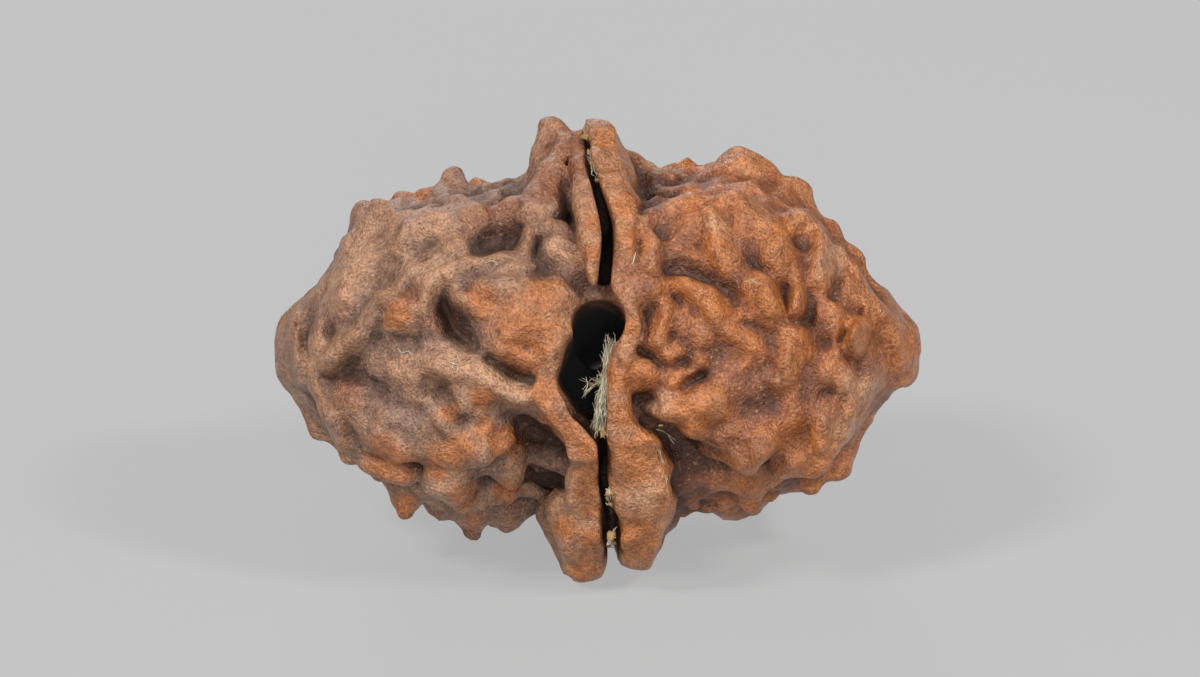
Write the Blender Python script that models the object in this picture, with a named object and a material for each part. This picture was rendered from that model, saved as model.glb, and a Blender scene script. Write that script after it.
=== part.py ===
"""A rudraksha seed: the dried stone of a blue marble tree fruit, with two faces and a string hole.

It grew as one piece, so it is one object. Shapes are drawn in the seed's own frame, in
millimetres: u runs across both faces, v along the height and w along the string hole, away
from the viewer. The seed then leans back on its lip tips and its hind knobs, as it rests
on a table.
"""

import math
import random

import bmesh
import bpy
from mathutils import Matrix, Vector

MM = 0.001

# Driving dimensions, in millimetres and degrees
SEED_WIDTH = 24.2
LOBE_HEIGHT = 11.9
LOBE_DEPTH = 14.2
LOBE_SHIFT = 0.25
LOBE_SHIFT_REACH = 3.0
LIP_HEIGHT = 16.8
LIP_DEPTH = 15.4
REST_TILT = 20.0
REST_HEIGHT = 7.54

# The string hole: where it opens in front (u, v), how far it has drifted at the back, and its length
HOLE_DIAMETER = 2.0
HOLE_FRONT = (-0.07, 1.08)
HOLE_DRIFT = (0.4, -3.2)
HOLE_LENGTH = 15.0
HOLE_OVERSHOOT = 4.0

# How the lobes narrow towards their tips, and how square their cross-section is
HEIGHT_TAPER = (2.8, 0.8)
DEPTH_TAPER = (2.6, 0.62)
SECTION_POWER = 2.3
BLUNTEST_SHARE = 0.998
RING_SPREAD = 0.9

# The split between the two faces
SPLIT_WIDTH = 0.5
SPLIT_DEPTH = 1.8
SPLIT_CENTRE = 0.2
SPLIT_OUTREACH = 2.0
LIP_RADIUS = 0.75
LIP_SPACING = 0.85
LIP_WEB = 1.7

# The skin that joins the shapes: how fine it is drawn and how many faces stay
SKIN_STEP = 0.4
SKIN_SMOOTHING = 2
SKIN_SHARE = 0.25

# Each knob on the side that faces the viewer: its middle (u, v) and its radius
KNOBS = [
    # Left face, from the tip inwards
    (-11.2, 0.3, 0.7), (-10.5, 0.0, 0.8), (-10.2, 1.6, 0.7), (-9.3, 0.2, 0.8), (-8.9, 1.2, 0.7),
    (-8.0, 1.6, 0.8), (-7.4, 3.4, 1.0), (-8.3, 4.2, 0.9), (-6.6, 4.9, 0.9), (-5.2, 5.0, 0.9),
    (-4.4, 4.5, 0.8), (-6.4, 1.6, 0.8), (-5.6, 3.0, 0.8), (-4.2, 3.1, 0.8), (-1.9, 3.6, 0.9),
    (-3.4, 1.9, 0.9), (-2.0, 1.6, 0.8), (-3.9, 0.9, 0.9), (-2.2, 0.0, 0.9), (-4.9, -0.9, 0.9),
    (-6.4, -0.6, 0.9), (-5.2, -1.9, 0.9), (-3.4, -1.6, 0.8), (-8.2, -0.6, 0.8), (-9.6, -1.3, 0.8),
    (-7.3, -3.0, 1.0), (-8.7, -3.0, 0.9), (-10.0, -2.6, 0.8), (-5.6, -3.4, 0.8), (-4.6, -3.6, 0.8),
    (-8.0, -4.3, 0.8), (-6.6, -4.7, 0.8), (-1.9, -2.2, 0.7),
    # Right face, from the split outwards
    (1.5, 2.1, 0.7), (1.7, 0.8, 0.7), (1.6, -1.3, 0.8), (1.7, -3.4, 0.9), (1.6, 3.9, 0.8),
    (2.6, 5.0, 0.9), (3.9, 5.0, 0.9), (5.4, 4.7, 0.9), (4.1, 3.1, 0.8), (2.9, 1.2, 0.8),
    (3.7, 2.0, 0.8), (2.9, -0.4, 0.8), (3.3, -2.4, 1.1), (4.6, 0.6, 0.9), (5.4, 1.9, 0.8),
    (6.6, 1.9, 0.9), (7.7, 1.9, 0.7), (7.4, 0.4, 0.8), (5.8, -0.9, 1.0), (4.8, -2.4, 0.9),
    (6.7, 3.8, 0.9), (7.9, 3.6, 0.8), (8.5, 2.0, 0.7), (9.3, 0.8, 0.9), (10.3, 0.2, 0.8),
    (11.3, -0.3, 0.7), (9.5, -1.3, 0.8), (8.0, -1.2, 0.9), (8.7, -3.0, 0.9), (6.9, -2.4, 0.9),
    (5.3, -4.2, 1.2), (6.9, -4.3, 0.9), (2.6, -4.6, 0.8),
]

# How deep a knob's middle lies in the body, and how much wider a tooth is at its root
KNOB_SINK = 0.15
TOOTH_SPREAD = 1.7

# Each tooth: where it leaves the body (u, v, w), its tip and the radius of its tip
TEETH = [
    ((-6.2, -3.6, -3.4), (-5.4, -5.2, -3.6), 0.7),
    ((-4.0, -2.4, -5.2), (-3.4, -3.3, -5.9), 0.6),
    ((-4.4, -3.8, -3.6), (-3.3, -4.7, -4.2), 0.6),
    ((-4.6, -4.6, 2.2), (-4.7, -6.5, 2.9), 0.65),
    ((-7.3, -4.0, 0.0), (-7.3, -5.5, 0.1), 0.7),
    ((-8.4, 3.8, 0.4), (-8.7, 5.0, 0.4), 0.6),
    ((-5.4, 5.0, 1.0), (-5.5, 6.2, 1.2), 0.65),
    ((-6.7, 4.6, -0.6), (-6.7, 5.5, -0.7), 0.65),
    ((5.4, -4.2, 3.2), (5.7, -5.9, 4.9), 0.8),
    ((3.6, -4.6, -1.0), (3.7, -5.7, -1.0), 0.65),
    ((7.5, -3.9, -0.4), (7.9, -5.0, -0.4), 0.7),
    ((9.0, -3.0, 0.4), (9.3, -4.0, 0.4), 0.65),
    ((5.0, 5.4, 0.8), (5.2, 6.7, 0.9), 0.75),
    ((3.4, 5.4, 1.8), (3.5, 6.4, 2.0), 0.65),
    ((7.2, 4.6, 0.4), (7.4, 5.8, 0.5), 0.65),
    ((-1.4, 6.0, 1.0), (-1.6, 8.0, 1.2), 0.65),
    ((1.0, 6.2, 1.4), (1.1, 7.2, 1.6), 0.6),
    ((1.5, -5.6, 1.0), (1.5, -7.3, 0.6), 0.7),
]

# Short ridges over the rest of the seed, spread by a rule
RIDGE_COUNT = 230
RIDGE_RADIUS = (0.55, 0.85)
RIDGE_LENGTH = (0.2, 1.9)
RIDGE_RISE = 0.55
RIDGE_TAPER = 0.8
RIDGE_JITTER = 0.2
RIDGE_SEED = 7
FRONT_EDGE = -1.6
LIP_ZONE = 2.3
TIP_ZONE = 10.6

# The outer edge of each lip round the seed, as turns from the front pole over the top:
# its angle in degrees, how far it swings sideways and how far it stands out or falls short
LEFT_LIP = [
    (12, -0.05, -0.3), (35, -0.05, 0.0), (62, -0.1, 0.4), (84, -0.25, 0.55),
    (108, -0.1, -0.4), (130, 0.15, -0.1), (155, -0.1, -0.1), (180, 0.1, 0.0),
    (205, -0.15, -0.2), (230, 0.1, 0.0), (255, -0.1, -0.3), (281, 0.0, 0.45),
    (305, 0.2, -0.2), (325, 0.3, -0.2), (342, -0.5, -0.1),
]
RIGHT_LIP = [
    (10, 0.35, -0.2), (35, 0.1, -0.1), (62, -0.1, 0.4), (84, -0.35, 0.5),
    (108, 0.1, -0.5), (130, 0.2, -0.1), (155, 0.0, -0.2), (180, 0.2, -0.1),
    (205, -0.1, 0.0), (230, 0.1, -0.3), (252, 0.1, 0.0), (270, 0.55, -0.15),
    (290, 0.3, -0.4), (315, 0.2, -0.1), (340, 0.2, 0.0),
]

# The block below the table's surface, which cuts a flat spot where the lips and hind knobs stand on it
TABLE_SIZE = 60.0

WOOD_COLOUR = (0.30, 0.13, 0.055, 1.0)
WOOD_ROUGHNESS = 0.55


def clear_scene():
    for obj in list(bpy.data.objects):
        bpy.data.objects.remove(obj)


def narrowing(u, powers):
    """How much of its middle size a lobe still has at u."""
    share = min(BLUNTEST_SHARE * abs(u) / (SEED_WIDTH / 2), 0.9999)
    return (1 - share ** powers[0]) ** powers[1]


def middle(u):
    """How far the lobes sit above or below the seed's middle at u."""
    return LOBE_SHIFT * math.tanh(u / LOBE_SHIFT_REACH)


def place(u, v, w):
    """A point of the seed's frame, as the mesh holds it before the seed is tilted."""
    return Vector((u, w, v)) * MM


def on_lobe(x, y, z):
    """The point (u, v, w) of the lobes' surface that a direction points at."""
    u = SEED_WIDTH / 2 * math.copysign(abs(x) ** RING_SPREAD, x)
    around = max(math.hypot(y, z), 1e-6)
    y, z = y / around, z / around
    reach = (abs(y) ** SECTION_POWER + abs(z) ** SECTION_POWER) ** (-1 / SECTION_POWER)
    v = middle(u) + z * reach * LOBE_HEIGHT / 2 * narrowing(u, HEIGHT_TAPER)
    w = y * reach * LOBE_DEPTH / 2 * narrowing(u, DEPTH_TAPER)
    return u, v, w


def front_of_lobe(u, v):
    """How far towards the viewer the lobes reach at (u, v)."""
    height = abs(v - middle(u)) / (LOBE_HEIGHT / 2 * narrowing(u, HEIGHT_TAPER))
    bulge = max(1 - height**SECTION_POWER, 0) ** (1 / SECTION_POWER)
    return -LOBE_DEPTH / 2 * narrowing(u, DEPTH_TAPER) * bulge


def add_lobes(shape):
    """Both faces as one closed skin, narrowing to a blunt tip at each side."""
    for vert in bmesh.ops.create_icosphere(shape, subdivisions=5, radius=1.0)["verts"]:
        vert.co = place(*on_lobe(*vert.co))


def add_knob(shape, u, v, w, radius):
    bmesh.ops.create_icosphere(
        shape, subdivisions=2, radius=radius * MM, matrix=Matrix.Translation(place(u, v, w))
    )


def add_cone(shape, root, tip, root_radius, tip_radius):
    """A blunt cone from the body to its round tip."""
    start, end = place(*root), place(*tip)
    lean = (end - start).to_track_quat("Z", "Y").to_matrix().to_4x4()
    bmesh.ops.create_cone(
        shape,
        cap_ends=True,
        segments=16,
        radius1=root_radius * MM,
        radius2=tip_radius * MM,
        depth=(end - start).length,
        matrix=Matrix.Translation((start + end) / 2) @ lean,
    )
    add_knob(shape, *tip, tip_radius)


def add_ridges(shape):
    """Short ridges in every direction, over all that the lists of knobs leave bare."""
    chance = random.Random(RIDGE_SEED)
    golden_turn = math.pi * (3 - math.sqrt(5))
    for i in range(RIDGE_COUNT):
        x = 1 - 2 * (i + 0.5) / RIDGE_COUNT
        turn = golden_turn * i + chance.uniform(-RIDGE_JITTER, RIDGE_JITTER)
        round_x = math.sqrt(1 - x * x)
        u, v, w = on_lobe(x, round_x * math.cos(turn), round_x * math.sin(turn))
        radius = chance.uniform(*RIDGE_RADIUS)
        length = chance.uniform(*RIDGE_LENGTH)
        heading = chance.uniform(0, math.pi)
        if w < FRONT_EDGE or abs(u) < LIP_ZONE or abs(u) > TIP_ZONE:
            continue
        sink = 1 - (radius - RIDGE_RISE) / math.hypot(v, w)
        start = (u, v * sink, w * sink)
        along = length * math.sin(heading) / math.hypot(v, w)
        end = (
            u + math.copysign(length * math.cos(heading), -u),
            start[1] - start[2] * along,
            start[2] + start[1] * along,
        )
        add_knob(shape, *start, radius)
        add_cone(shape, start, end, radius, RIDGE_TAPER * radius)


def lip_point(angle, sideways, stand_out):
    """A point on the middle of a lip's edge, given round the seed from its front pole."""
    turn = math.radians(angle)
    height = LIP_HEIGHT / 2 - LIP_RADIUS + stand_out
    depth = LIP_DEPTH / 2 - LIP_RADIUS + stand_out
    return place(sideways, height * math.sin(turn), -depth * math.cos(turn))


def add_lip(shape, stations, side):
    """A round edge that runs over both poles, and the web that carries it."""
    curve = bpy.data.curves.new("lip", "CURVE")
    curve.dimensions = "3D"
    curve.bevel_depth = LIP_RADIUS * MM
    curve.bevel_resolution = 3
    curve.resolution_u = 6
    spline = curve.splines.new("NURBS")
    spline.points.add(len(stations) - 1)
    spline.use_cyclic_u = True
    spline.order_u = 3
    for point, (angle, sideways, stand_out) in zip(spline.points, stations):
        where = lip_point(angle, sideways + side * LIP_SPACING, stand_out)
        point.co = (*where, 1)
    carrier = bpy.data.objects.new("lip", curve)
    bpy.context.scene.collection.objects.link(carrier)
    bpy.context.view_layer.update()
    graph = bpy.context.evaluated_depsgraph_get()
    shape.from_mesh(bpy.data.meshes.new_from_object(carrier.evaluated_get(graph)))
    bpy.data.objects.remove(carrier)

    half_depth = (LIP_DEPTH / 2 - LIP_RADIUS) * MM
    half_height = (LIP_HEIGHT / 2 - LIP_RADIUS) * MM
    squash = Matrix.Diagonal((1, half_depth, half_height, 1))
    across = Matrix.Rotation(math.radians(90), 4, "Y")
    bmesh.ops.create_cone(
        shape,
        cap_ends=True,
        segments=64,
        radius1=1,
        radius2=1,
        depth=LIP_WEB * MM,
        matrix=Matrix.Translation(place(side * LIP_SPACING / 2, 0, 0)) @ squash @ across,
    )


def cutter(name, mesh_maker):
    """A helper that is cut away from the seed and never shown."""
    shape = bmesh.new()
    mesh_maker(shape)
    bmesh.ops.recalc_face_normals(shape, faces=shape.faces)
    mesh = bpy.data.meshes.new(name)
    shape.to_mesh(mesh)
    shape.free()
    obj = bpy.data.objects.new(name, mesh)
    bpy.context.scene.collection.objects.link(obj)
    obj.hide_render = True
    obj.display_type = "WIRE"
    return obj


def hole_shape(shape):
    """The string hole, from the front pole down to the back pole."""
    front = place(*HOLE_FRONT, -HOLE_LENGTH / 2)
    back = front + place(*HOLE_DRIFT, HOLE_LENGTH)
    lean = (back - front).to_track_quat("Z", "Y").to_matrix().to_4x4()
    bmesh.ops.create_cone(
        shape,
        cap_ends=True,
        segments=24,
        radius1=HOLE_DIAMETER / 2 * MM,
        radius2=HOLE_DIAMETER / 2 * MM,
        depth=(HOLE_LENGTH + 2 * HOLE_OVERSHOOT) * MM,
        matrix=Matrix.Translation((front + back) / 2) @ lean,
    )


def split_shape(shape):
    """The slot between the lips: a flat ring round the seed, open outwards."""
    sides = 64
    rows = []
    for across in (SPLIT_CENTRE - SPLIT_WIDTH / 2, SPLIT_CENTRE + SPLIT_WIDTH / 2):
        for beyond in (-SPLIT_DEPTH, SPLIT_OUTREACH):
            row = []
            for i in range(sides):
                turn = math.tau * i / sides
                height = LIP_HEIGHT / 2 + beyond
                depth = LIP_DEPTH / 2 + beyond
                point = place(across, height * math.sin(turn), depth * math.cos(turn))
                row.append(shape.verts.new(point))
            rows.append(row)
    ring = (rows[0], rows[1], rows[3], rows[2])
    for i in range(sides):
        j = (i + 1) % sides
        for one, other in zip(ring, ring[1:] + ring[:1]):
            shape.faces.new((one[i], one[j], other[j], other[i]))


def table_shape(shape):
    """What lies below the table's surface."""
    drop = TABLE_SIZE / 2 * MM
    bmesh.ops.create_cube(shape, size=TABLE_SIZE * MM, matrix=Matrix.Translation((0, 0, -drop)))


def rest_pose(obj):
    """Leans the seed back on the tips that it stands on."""
    obj.rotation_euler = (-math.radians(REST_TILT), 0, 0)
    obj.location = Vector((0, 0, REST_HEIGHT)) * MM


def cut(obj, tool, name):
    step = obj.modifiers.new(name, "BOOLEAN")
    step.operation = "DIFFERENCE"
    step.object = tool


def wood_material():
    material = bpy.data.materials.new("seed_wood")
    material.use_nodes = True
    shader = material.node_tree.nodes["Principled BSDF"]
    shader.inputs["Base Color"].default_value = WOOD_COLOUR
    shader.inputs["Roughness"].default_value = WOOD_ROUGHNESS
    shader.inputs["Metallic"].default_value = 0.0
    return material


def make_seed():
    shape = bmesh.new()
    add_lobes(shape)
    for u, v, radius in KNOBS:
        add_knob(shape, u, v, front_of_lobe(u, v) + KNOB_SINK, radius)
    for root, tip, radius in TEETH:
        add_cone(shape, root, tip, TOOTH_SPREAD * radius, radius)
    add_ridges(shape)
    add_lip(shape, LEFT_LIP, -1)
    add_lip(shape, RIGHT_LIP, 1)
    mesh = bpy.data.meshes.new("rudraksha_seed")
    shape.to_mesh(mesh)
    shape.free()
    seed = bpy.data.objects.new("rudraksha_seed", mesh)
    bpy.context.scene.collection.objects.link(seed)
    seed.data.materials.append(wood_material())

    skin = seed.modifiers.new("skin", "REMESH")
    skin.mode = "VOXEL"
    skin.voxel_size = SKIN_STEP * MM
    soften = seed.modifiers.new("soften", "SMOOTH")
    soften.factor = 0.5
    soften.iterations = SKIN_SMOOTHING
    thin = seed.modifiers.new("thin", "DECIMATE")
    thin.ratio = SKIN_SHARE
    hole = cutter("string_hole", hole_shape)
    split = cutter("split", split_shape)
    rest_pose(seed)
    rest_pose(hole)
    rest_pose(split)
    cut(seed, split, "split")
    cut(seed, hole, "string_hole")
    cut(seed, cutter("table", table_shape), "flat_spots")


clear_scene()
make_seed()
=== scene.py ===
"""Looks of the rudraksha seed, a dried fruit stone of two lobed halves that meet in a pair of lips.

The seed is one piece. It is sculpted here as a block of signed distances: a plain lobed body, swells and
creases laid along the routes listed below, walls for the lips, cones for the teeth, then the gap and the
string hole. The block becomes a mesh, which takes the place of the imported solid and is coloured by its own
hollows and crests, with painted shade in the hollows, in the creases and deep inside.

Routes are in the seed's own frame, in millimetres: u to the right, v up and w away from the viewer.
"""

import math

import bmesh
import bpy
import numpy as np
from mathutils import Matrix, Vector


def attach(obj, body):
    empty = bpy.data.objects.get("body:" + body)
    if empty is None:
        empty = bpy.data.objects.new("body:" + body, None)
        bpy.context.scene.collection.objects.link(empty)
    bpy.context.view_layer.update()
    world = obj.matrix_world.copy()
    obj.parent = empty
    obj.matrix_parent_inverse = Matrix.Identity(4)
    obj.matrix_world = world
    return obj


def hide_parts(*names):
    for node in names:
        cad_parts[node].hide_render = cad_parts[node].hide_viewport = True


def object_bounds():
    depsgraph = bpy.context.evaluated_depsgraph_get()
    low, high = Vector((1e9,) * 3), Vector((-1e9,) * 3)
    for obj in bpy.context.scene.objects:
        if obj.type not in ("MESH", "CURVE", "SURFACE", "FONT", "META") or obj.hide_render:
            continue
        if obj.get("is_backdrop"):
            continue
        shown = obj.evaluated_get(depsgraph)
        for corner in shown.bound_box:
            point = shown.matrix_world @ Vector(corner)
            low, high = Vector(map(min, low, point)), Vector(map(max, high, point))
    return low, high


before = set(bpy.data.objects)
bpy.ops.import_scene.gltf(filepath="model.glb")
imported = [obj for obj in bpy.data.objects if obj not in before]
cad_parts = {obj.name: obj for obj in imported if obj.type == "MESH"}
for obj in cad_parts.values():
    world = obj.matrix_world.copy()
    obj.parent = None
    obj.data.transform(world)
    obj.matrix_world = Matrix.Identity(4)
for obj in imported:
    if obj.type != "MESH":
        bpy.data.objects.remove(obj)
packed_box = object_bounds()

# Size of the plain body

HALF_WIDTH = 11.78
# 2 would be an ellipse, and more is squarer
SECTION_POWER = 2.2
STEEPEST_TAPER = 1.6
# what is added all over, under the relief
FILL = 0.12
# along the seed: u, height of the lobe's axis, half height and half depth of its section
SECTIONS = [
    (-12.5, -0.2, 0.02, 0.02), (-11.6, -0.2, 0.9, 1.0), (-11.3, -0.2, 1.4, 1.6),
    (-10.9, -0.25, 1.75, 2.2), (-10.3, -0.35, 2.35, 3.0), (-9.8, -0.35, 2.9, 3.5), (-9.3, 0.0, 3.5, 4.0),
    (-8.9, 0.25, 4.0, 4.3), (-8.0, 0.25, 4.6, 4.8), (-7.0, 0.05, 5.1, 5.3), (-6.0, 0.1, 5.4, 5.7),
    (-4.5, -0.1, 5.6, 5.9), (-3.0, -0.05, 5.6, 6.0), (0.0, 0.1, 5.5, 6.0), (2.0, 0.25, 5.6, 6.0),
    (3.5, 0.35, 5.75, 5.95), (5.0, 0.45, 5.8, 5.8), (6.0, 0.4, 5.55, 5.7), (7.0, 0.3, 5.1, 5.3),
    (7.8, 0.05, 4.7, 4.9), (8.3, -0.15, 4.3, 4.6), (8.85, -0.25, 3.9, 4.3), (9.25, -0.2, 3.45, 4.0),
    (9.65, -0.05, 2.95, 3.6), (10.0, 0.0, 2.45, 3.2), (10.6, 0.05, 1.8, 2.5), (11.1, -0.1, 1.35, 1.8),
    (11.6, -0.3, 0.9, 1.1), (12.6, -0.4, 0.02, 0.02),
]
SECTION_BLUR = 0.22
# the string hole: where it starts in front (u, v), how far it drifts on its way, its length and radius
HOLE_START = (-0.07, 1.08)
HOLE_DRIFT = (0.4, -3.2)
HOLE_LENGTH = 15.0
HOLE_RADIUS = 1.0

# Broad swells of the left face, each a route (u, v), a half width and a height

LEFT_SWELLS = [
    # blunt tip with its upright rolls
    ([(-11.4, 1.1), (-11.5, 0.1), (-11.4, -0.9)], 0.8, 0.45),
    ([(-10.5, 0.8), (-10.7, 0.1)], 0.6, 0.55),
    ([(-11.1, 1.7), (-10.3, 2.2)], 0.9, 0.4),
    # stair of knobs that climbs from the tip
    ([(-10.6, -0.6), (-9.9, 0.0)], 0.7, 0.8),
    ([(-9.6, 0.3), (-9.2, 0.6)], 0.65, 0.8),
    ([(-9.0, 0.9), (-8.6, 1.2)], 0.65, 0.85),
    ([(-8.2, 1.6), (-7.3, 1.5)], 0.9, 1.0),
    ([(-7.9, 0.9), (-7.2, 0.9)], 0.8, 0.9),
    # smooth slope above the stair
    ([(-9.8, 2.4), (-8.8, 3.2), (-8.4, 4.0)], 1.6, 0.6),
    ([(-7.5, 2.9), (-6.2, 3.4)], 1.6, 0.75),
    # upper edge, from left to right
    ([(-8.9, 4.7), (-8.3, 4.9), (-7.6, 4.8)], 1.2, 0.9),
    ([(-7.0, 4.6), (-6.7, 5.3)], 1.0, 0.9),
    ([(-7.4, 3.9), (-6.8, 4.6), (-5.7, 5.1), (-5.0, 5.3)], 0.9, 0.9),
    ([(-5.3, 3.9), (-5.1, 4.8), (-4.5, 5.4), (-3.5, 5.5), (-2.7, 5.3)], 0.8, 0.95),
    ([(-2.9, 3.7), (-2.6, 4.5), (-1.9, 4.8), (-1.3, 4.6)], 0.6, 1.0),
    ([(-2.0, 4.0), (-1.4, 3.9)], 0.6, 0.9),
    ([(-1.7, 3.5), (-1.1, 3.3)], 0.7, 0.95),
    # long fold from the valley to the lip
    ([(-6.5, 1.8), (-6.1, 2.5), (-5.3, 3.0), (-4.2, 3.2), (-3.1, 3.35)], 0.75, 1.0),
    # bright plateau at the hole, in two folds
    ([(-5.1, 2.0), (-4.3, 1.7), (-3.6, 1.2)], 0.75, 1.15),
    ([(-4.2, 2.3), (-3.0, 2.0), (-1.8, 1.9)], 1.0, 1.15),
    ([(-3.1, 0.9), (-2.2, 0.6), (-1.9, 0.1)], 1.7, 1.3),
    ([(-3.3, -0.2), (-2.4, -0.4)], 0.9, 1.15),
    # wall on the far side of the dark valley
    ([(-6.5, 2.0), (-6.4, 1.2), (-6.2, 0.6)], 0.65, 0.85),
    # pinkish mound and what leads from it to the lip
    ([(-6.0, -0.8), (-5.2, -1.2), (-4.6, -1.4)], 1.1, 0.95),
    ([(-5.4, -2.0), (-4.7, -1.9)], 0.8, 1.0),
    ([(-3.9, -1.5), (-3.0, -1.9), (-2.4, -1.7)], 0.9, 1.0),
    # low left side
    ([(-8.0, -0.4), (-7.2, -0.9), (-6.6, -1.8)], 1.1, 0.5),
    ([(-7.0, -2.2), (-6.2, -2.6)], 1.0, 0.65),
    ([(-10.8, -1.4), (-9.8, -1.9), (-8.9, -2.1)], 0.9, 0.5),
    ([(-10.4, -2.5), (-9.8, -3.4)], 0.9, 0.7),
    ([(-9.2, -2.4), (-8.8, -3.2)], 0.8, 0.65),
    ([(-8.7, -3.4), (-8.0, -3.8), (-7.1, -3.9)], 1.0, 1.0),
    ([(-8.3, -2.5), (-7.4, -2.6)], 1.0, 0.6),
    ([(-6.2, -3.3), (-5.4, -3.6), (-4.5, -3.9)], 1.0, 1.2),
]

# The same for the right face

RIGHT_SWELLS = [
    # crest of the front face
    ([(1.3, 4.8), (2.2, 5.3), (3.2, 5.8)], 0.8, 1.0),
    ([(3.2, 5.8), (4.4, 5.6), (5.6, 5.3), (6.4, 4.9)], 0.95, 0.95),
    ([(2.5, 5.0), (3.0, 4.6)], 1.1, 0.9),
    ([(3.8, 5.2), (4.2, 4.4), (4.5, 3.6)], 0.85, 1.1),
    ([(5.2, 4.5), (5.4, 4.2)], 0.8, 0.6),
    ([(6.3, 5.0), (6.8, 4.3), (6.9, 3.6)], 0.75, 0.95),
    ([(2.7, 3.9), (3.4, 3.4)], 1.1, 0.6),
    # beside the gap and the hole
    ([(1.4, 4.2), (1.9, 3.7), (1.7, 3.3)], 0.7, 0.9),
    ([(1.3, 2.5), (1.7, 2.1)], 0.7, 1.05),
    ([(2.3, 1.4), (2.35, 0.9), (2.1, 0.2)], 0.5, 0.95),
    ([(1.45, -1.0), (1.7, -1.3)], 0.65, 0.9),
    # middle
    ([(2.9, 2.4), (3.3, 2.1)], 0.65, 0.95),
    ([(3.9, 1.8), (4.3, 1.5)], 0.8, 1.05),
    ([(3.0, 1.0), (3.6, 0.6)], 0.9, 0.7),
    ([(4.6, 0.7), (5.2, 0.3)], 0.9, 0.6),
    ([(4.9, 2.8), (5.7, 2.6)], 0.7, 0.5),
    ([(5.9, 2.3), (6.5, 1.7)], 0.8, 1.15),
    ([(5.3, 1.5), (6.0, 1.4)], 0.55, 0.8),
    ([(7.6, 2.1), (7.6, 1.8)], 0.65, 1.05),
    ([(7.1, 0.7), (7.7, 0.3)], 0.75, 0.95),
    ([(7.2, -0.1), (6.9, -0.9), (6.5, -1.3)], 0.6, 0.9),
    ([(2.5, -1.3), (3.0, -0.8)], 0.5, 0.95),
    ([(3.3, -0.8), (3.7, -0.2)], 0.5, 0.85),
    ([(2.4, -0.2), (2.9, 0.1)], 0.65, 0.8),
    ([(4.6, -0.9), (5.5, -1.5)], 1.5, 0.65),
    # towards the tip
    ([(7.4, 4.3), (8.0, 4.4)], 0.8, 0.7),
    ([(8.4, 3.9), (8.4, 2.7)], 0.8, 0.7),
    ([(7.2, 3.4), (7.3, 2.9)], 0.8, 0.6),
    ([(9.3, 3.2), (9.8, 2.6)], 0.9, 0.6),
    ([(9.4, 2.2), (10.0, 1.9)], 0.8, 0.5),
    ([(10.4, 1.9), (11.0, 1.3)], 0.6, 0.5),
    ([(9.2, 1.4), (9.3, 0.9)], 0.7, 0.85),
    ([(8.5, 1.6), (8.5, 0.9)], 0.7, 0.5),
    ([(10.2, 0.7), (10.1, 0.2)], 0.75, 1.0),
    ([(9.6, -0.1), (9.2, -0.1)], 0.55, 0.6),
    ([(11.3, 0.5), (11.5, -0.3)], 0.8, 0.4),
    ([(8.7, -0.9), (9.3, -1.4)], 1.0, 0.6),
    ([(10.6, -1.1), (10.2, -1.8)], 0.9, 0.5),
    # lower half
    ([(2.6, -2.1), (3.4, -2.2), (4.2, -2.0)], 0.85, 1.2),
    ([(3.2, -2.5), (3.3, -2.8)], 0.65, 1.0),
    ([(4.5, -2.9), (5.4, -3.1)], 1.2, 0.9),
    ([(4.6, -4.0), (5.4, -4.1), (6.1, -3.6)], 1.1, 1.3),
    ([(7.2, -2.6), (7.5, -3.6)], 1.4, 0.8),
    ([(8.8, -2.6), (8.6, -3.5)], 0.8, 0.95),
    ([(7.3, -4.4), (8.2, -4.5), (8.8, -4.1)], 1.0, 1.0),
    ([(9.7, -2.4), (9.4, -3.2)], 0.9, 0.7),
]

# Creases with a sharp bottom, each a route, a half width and a depth

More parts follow.
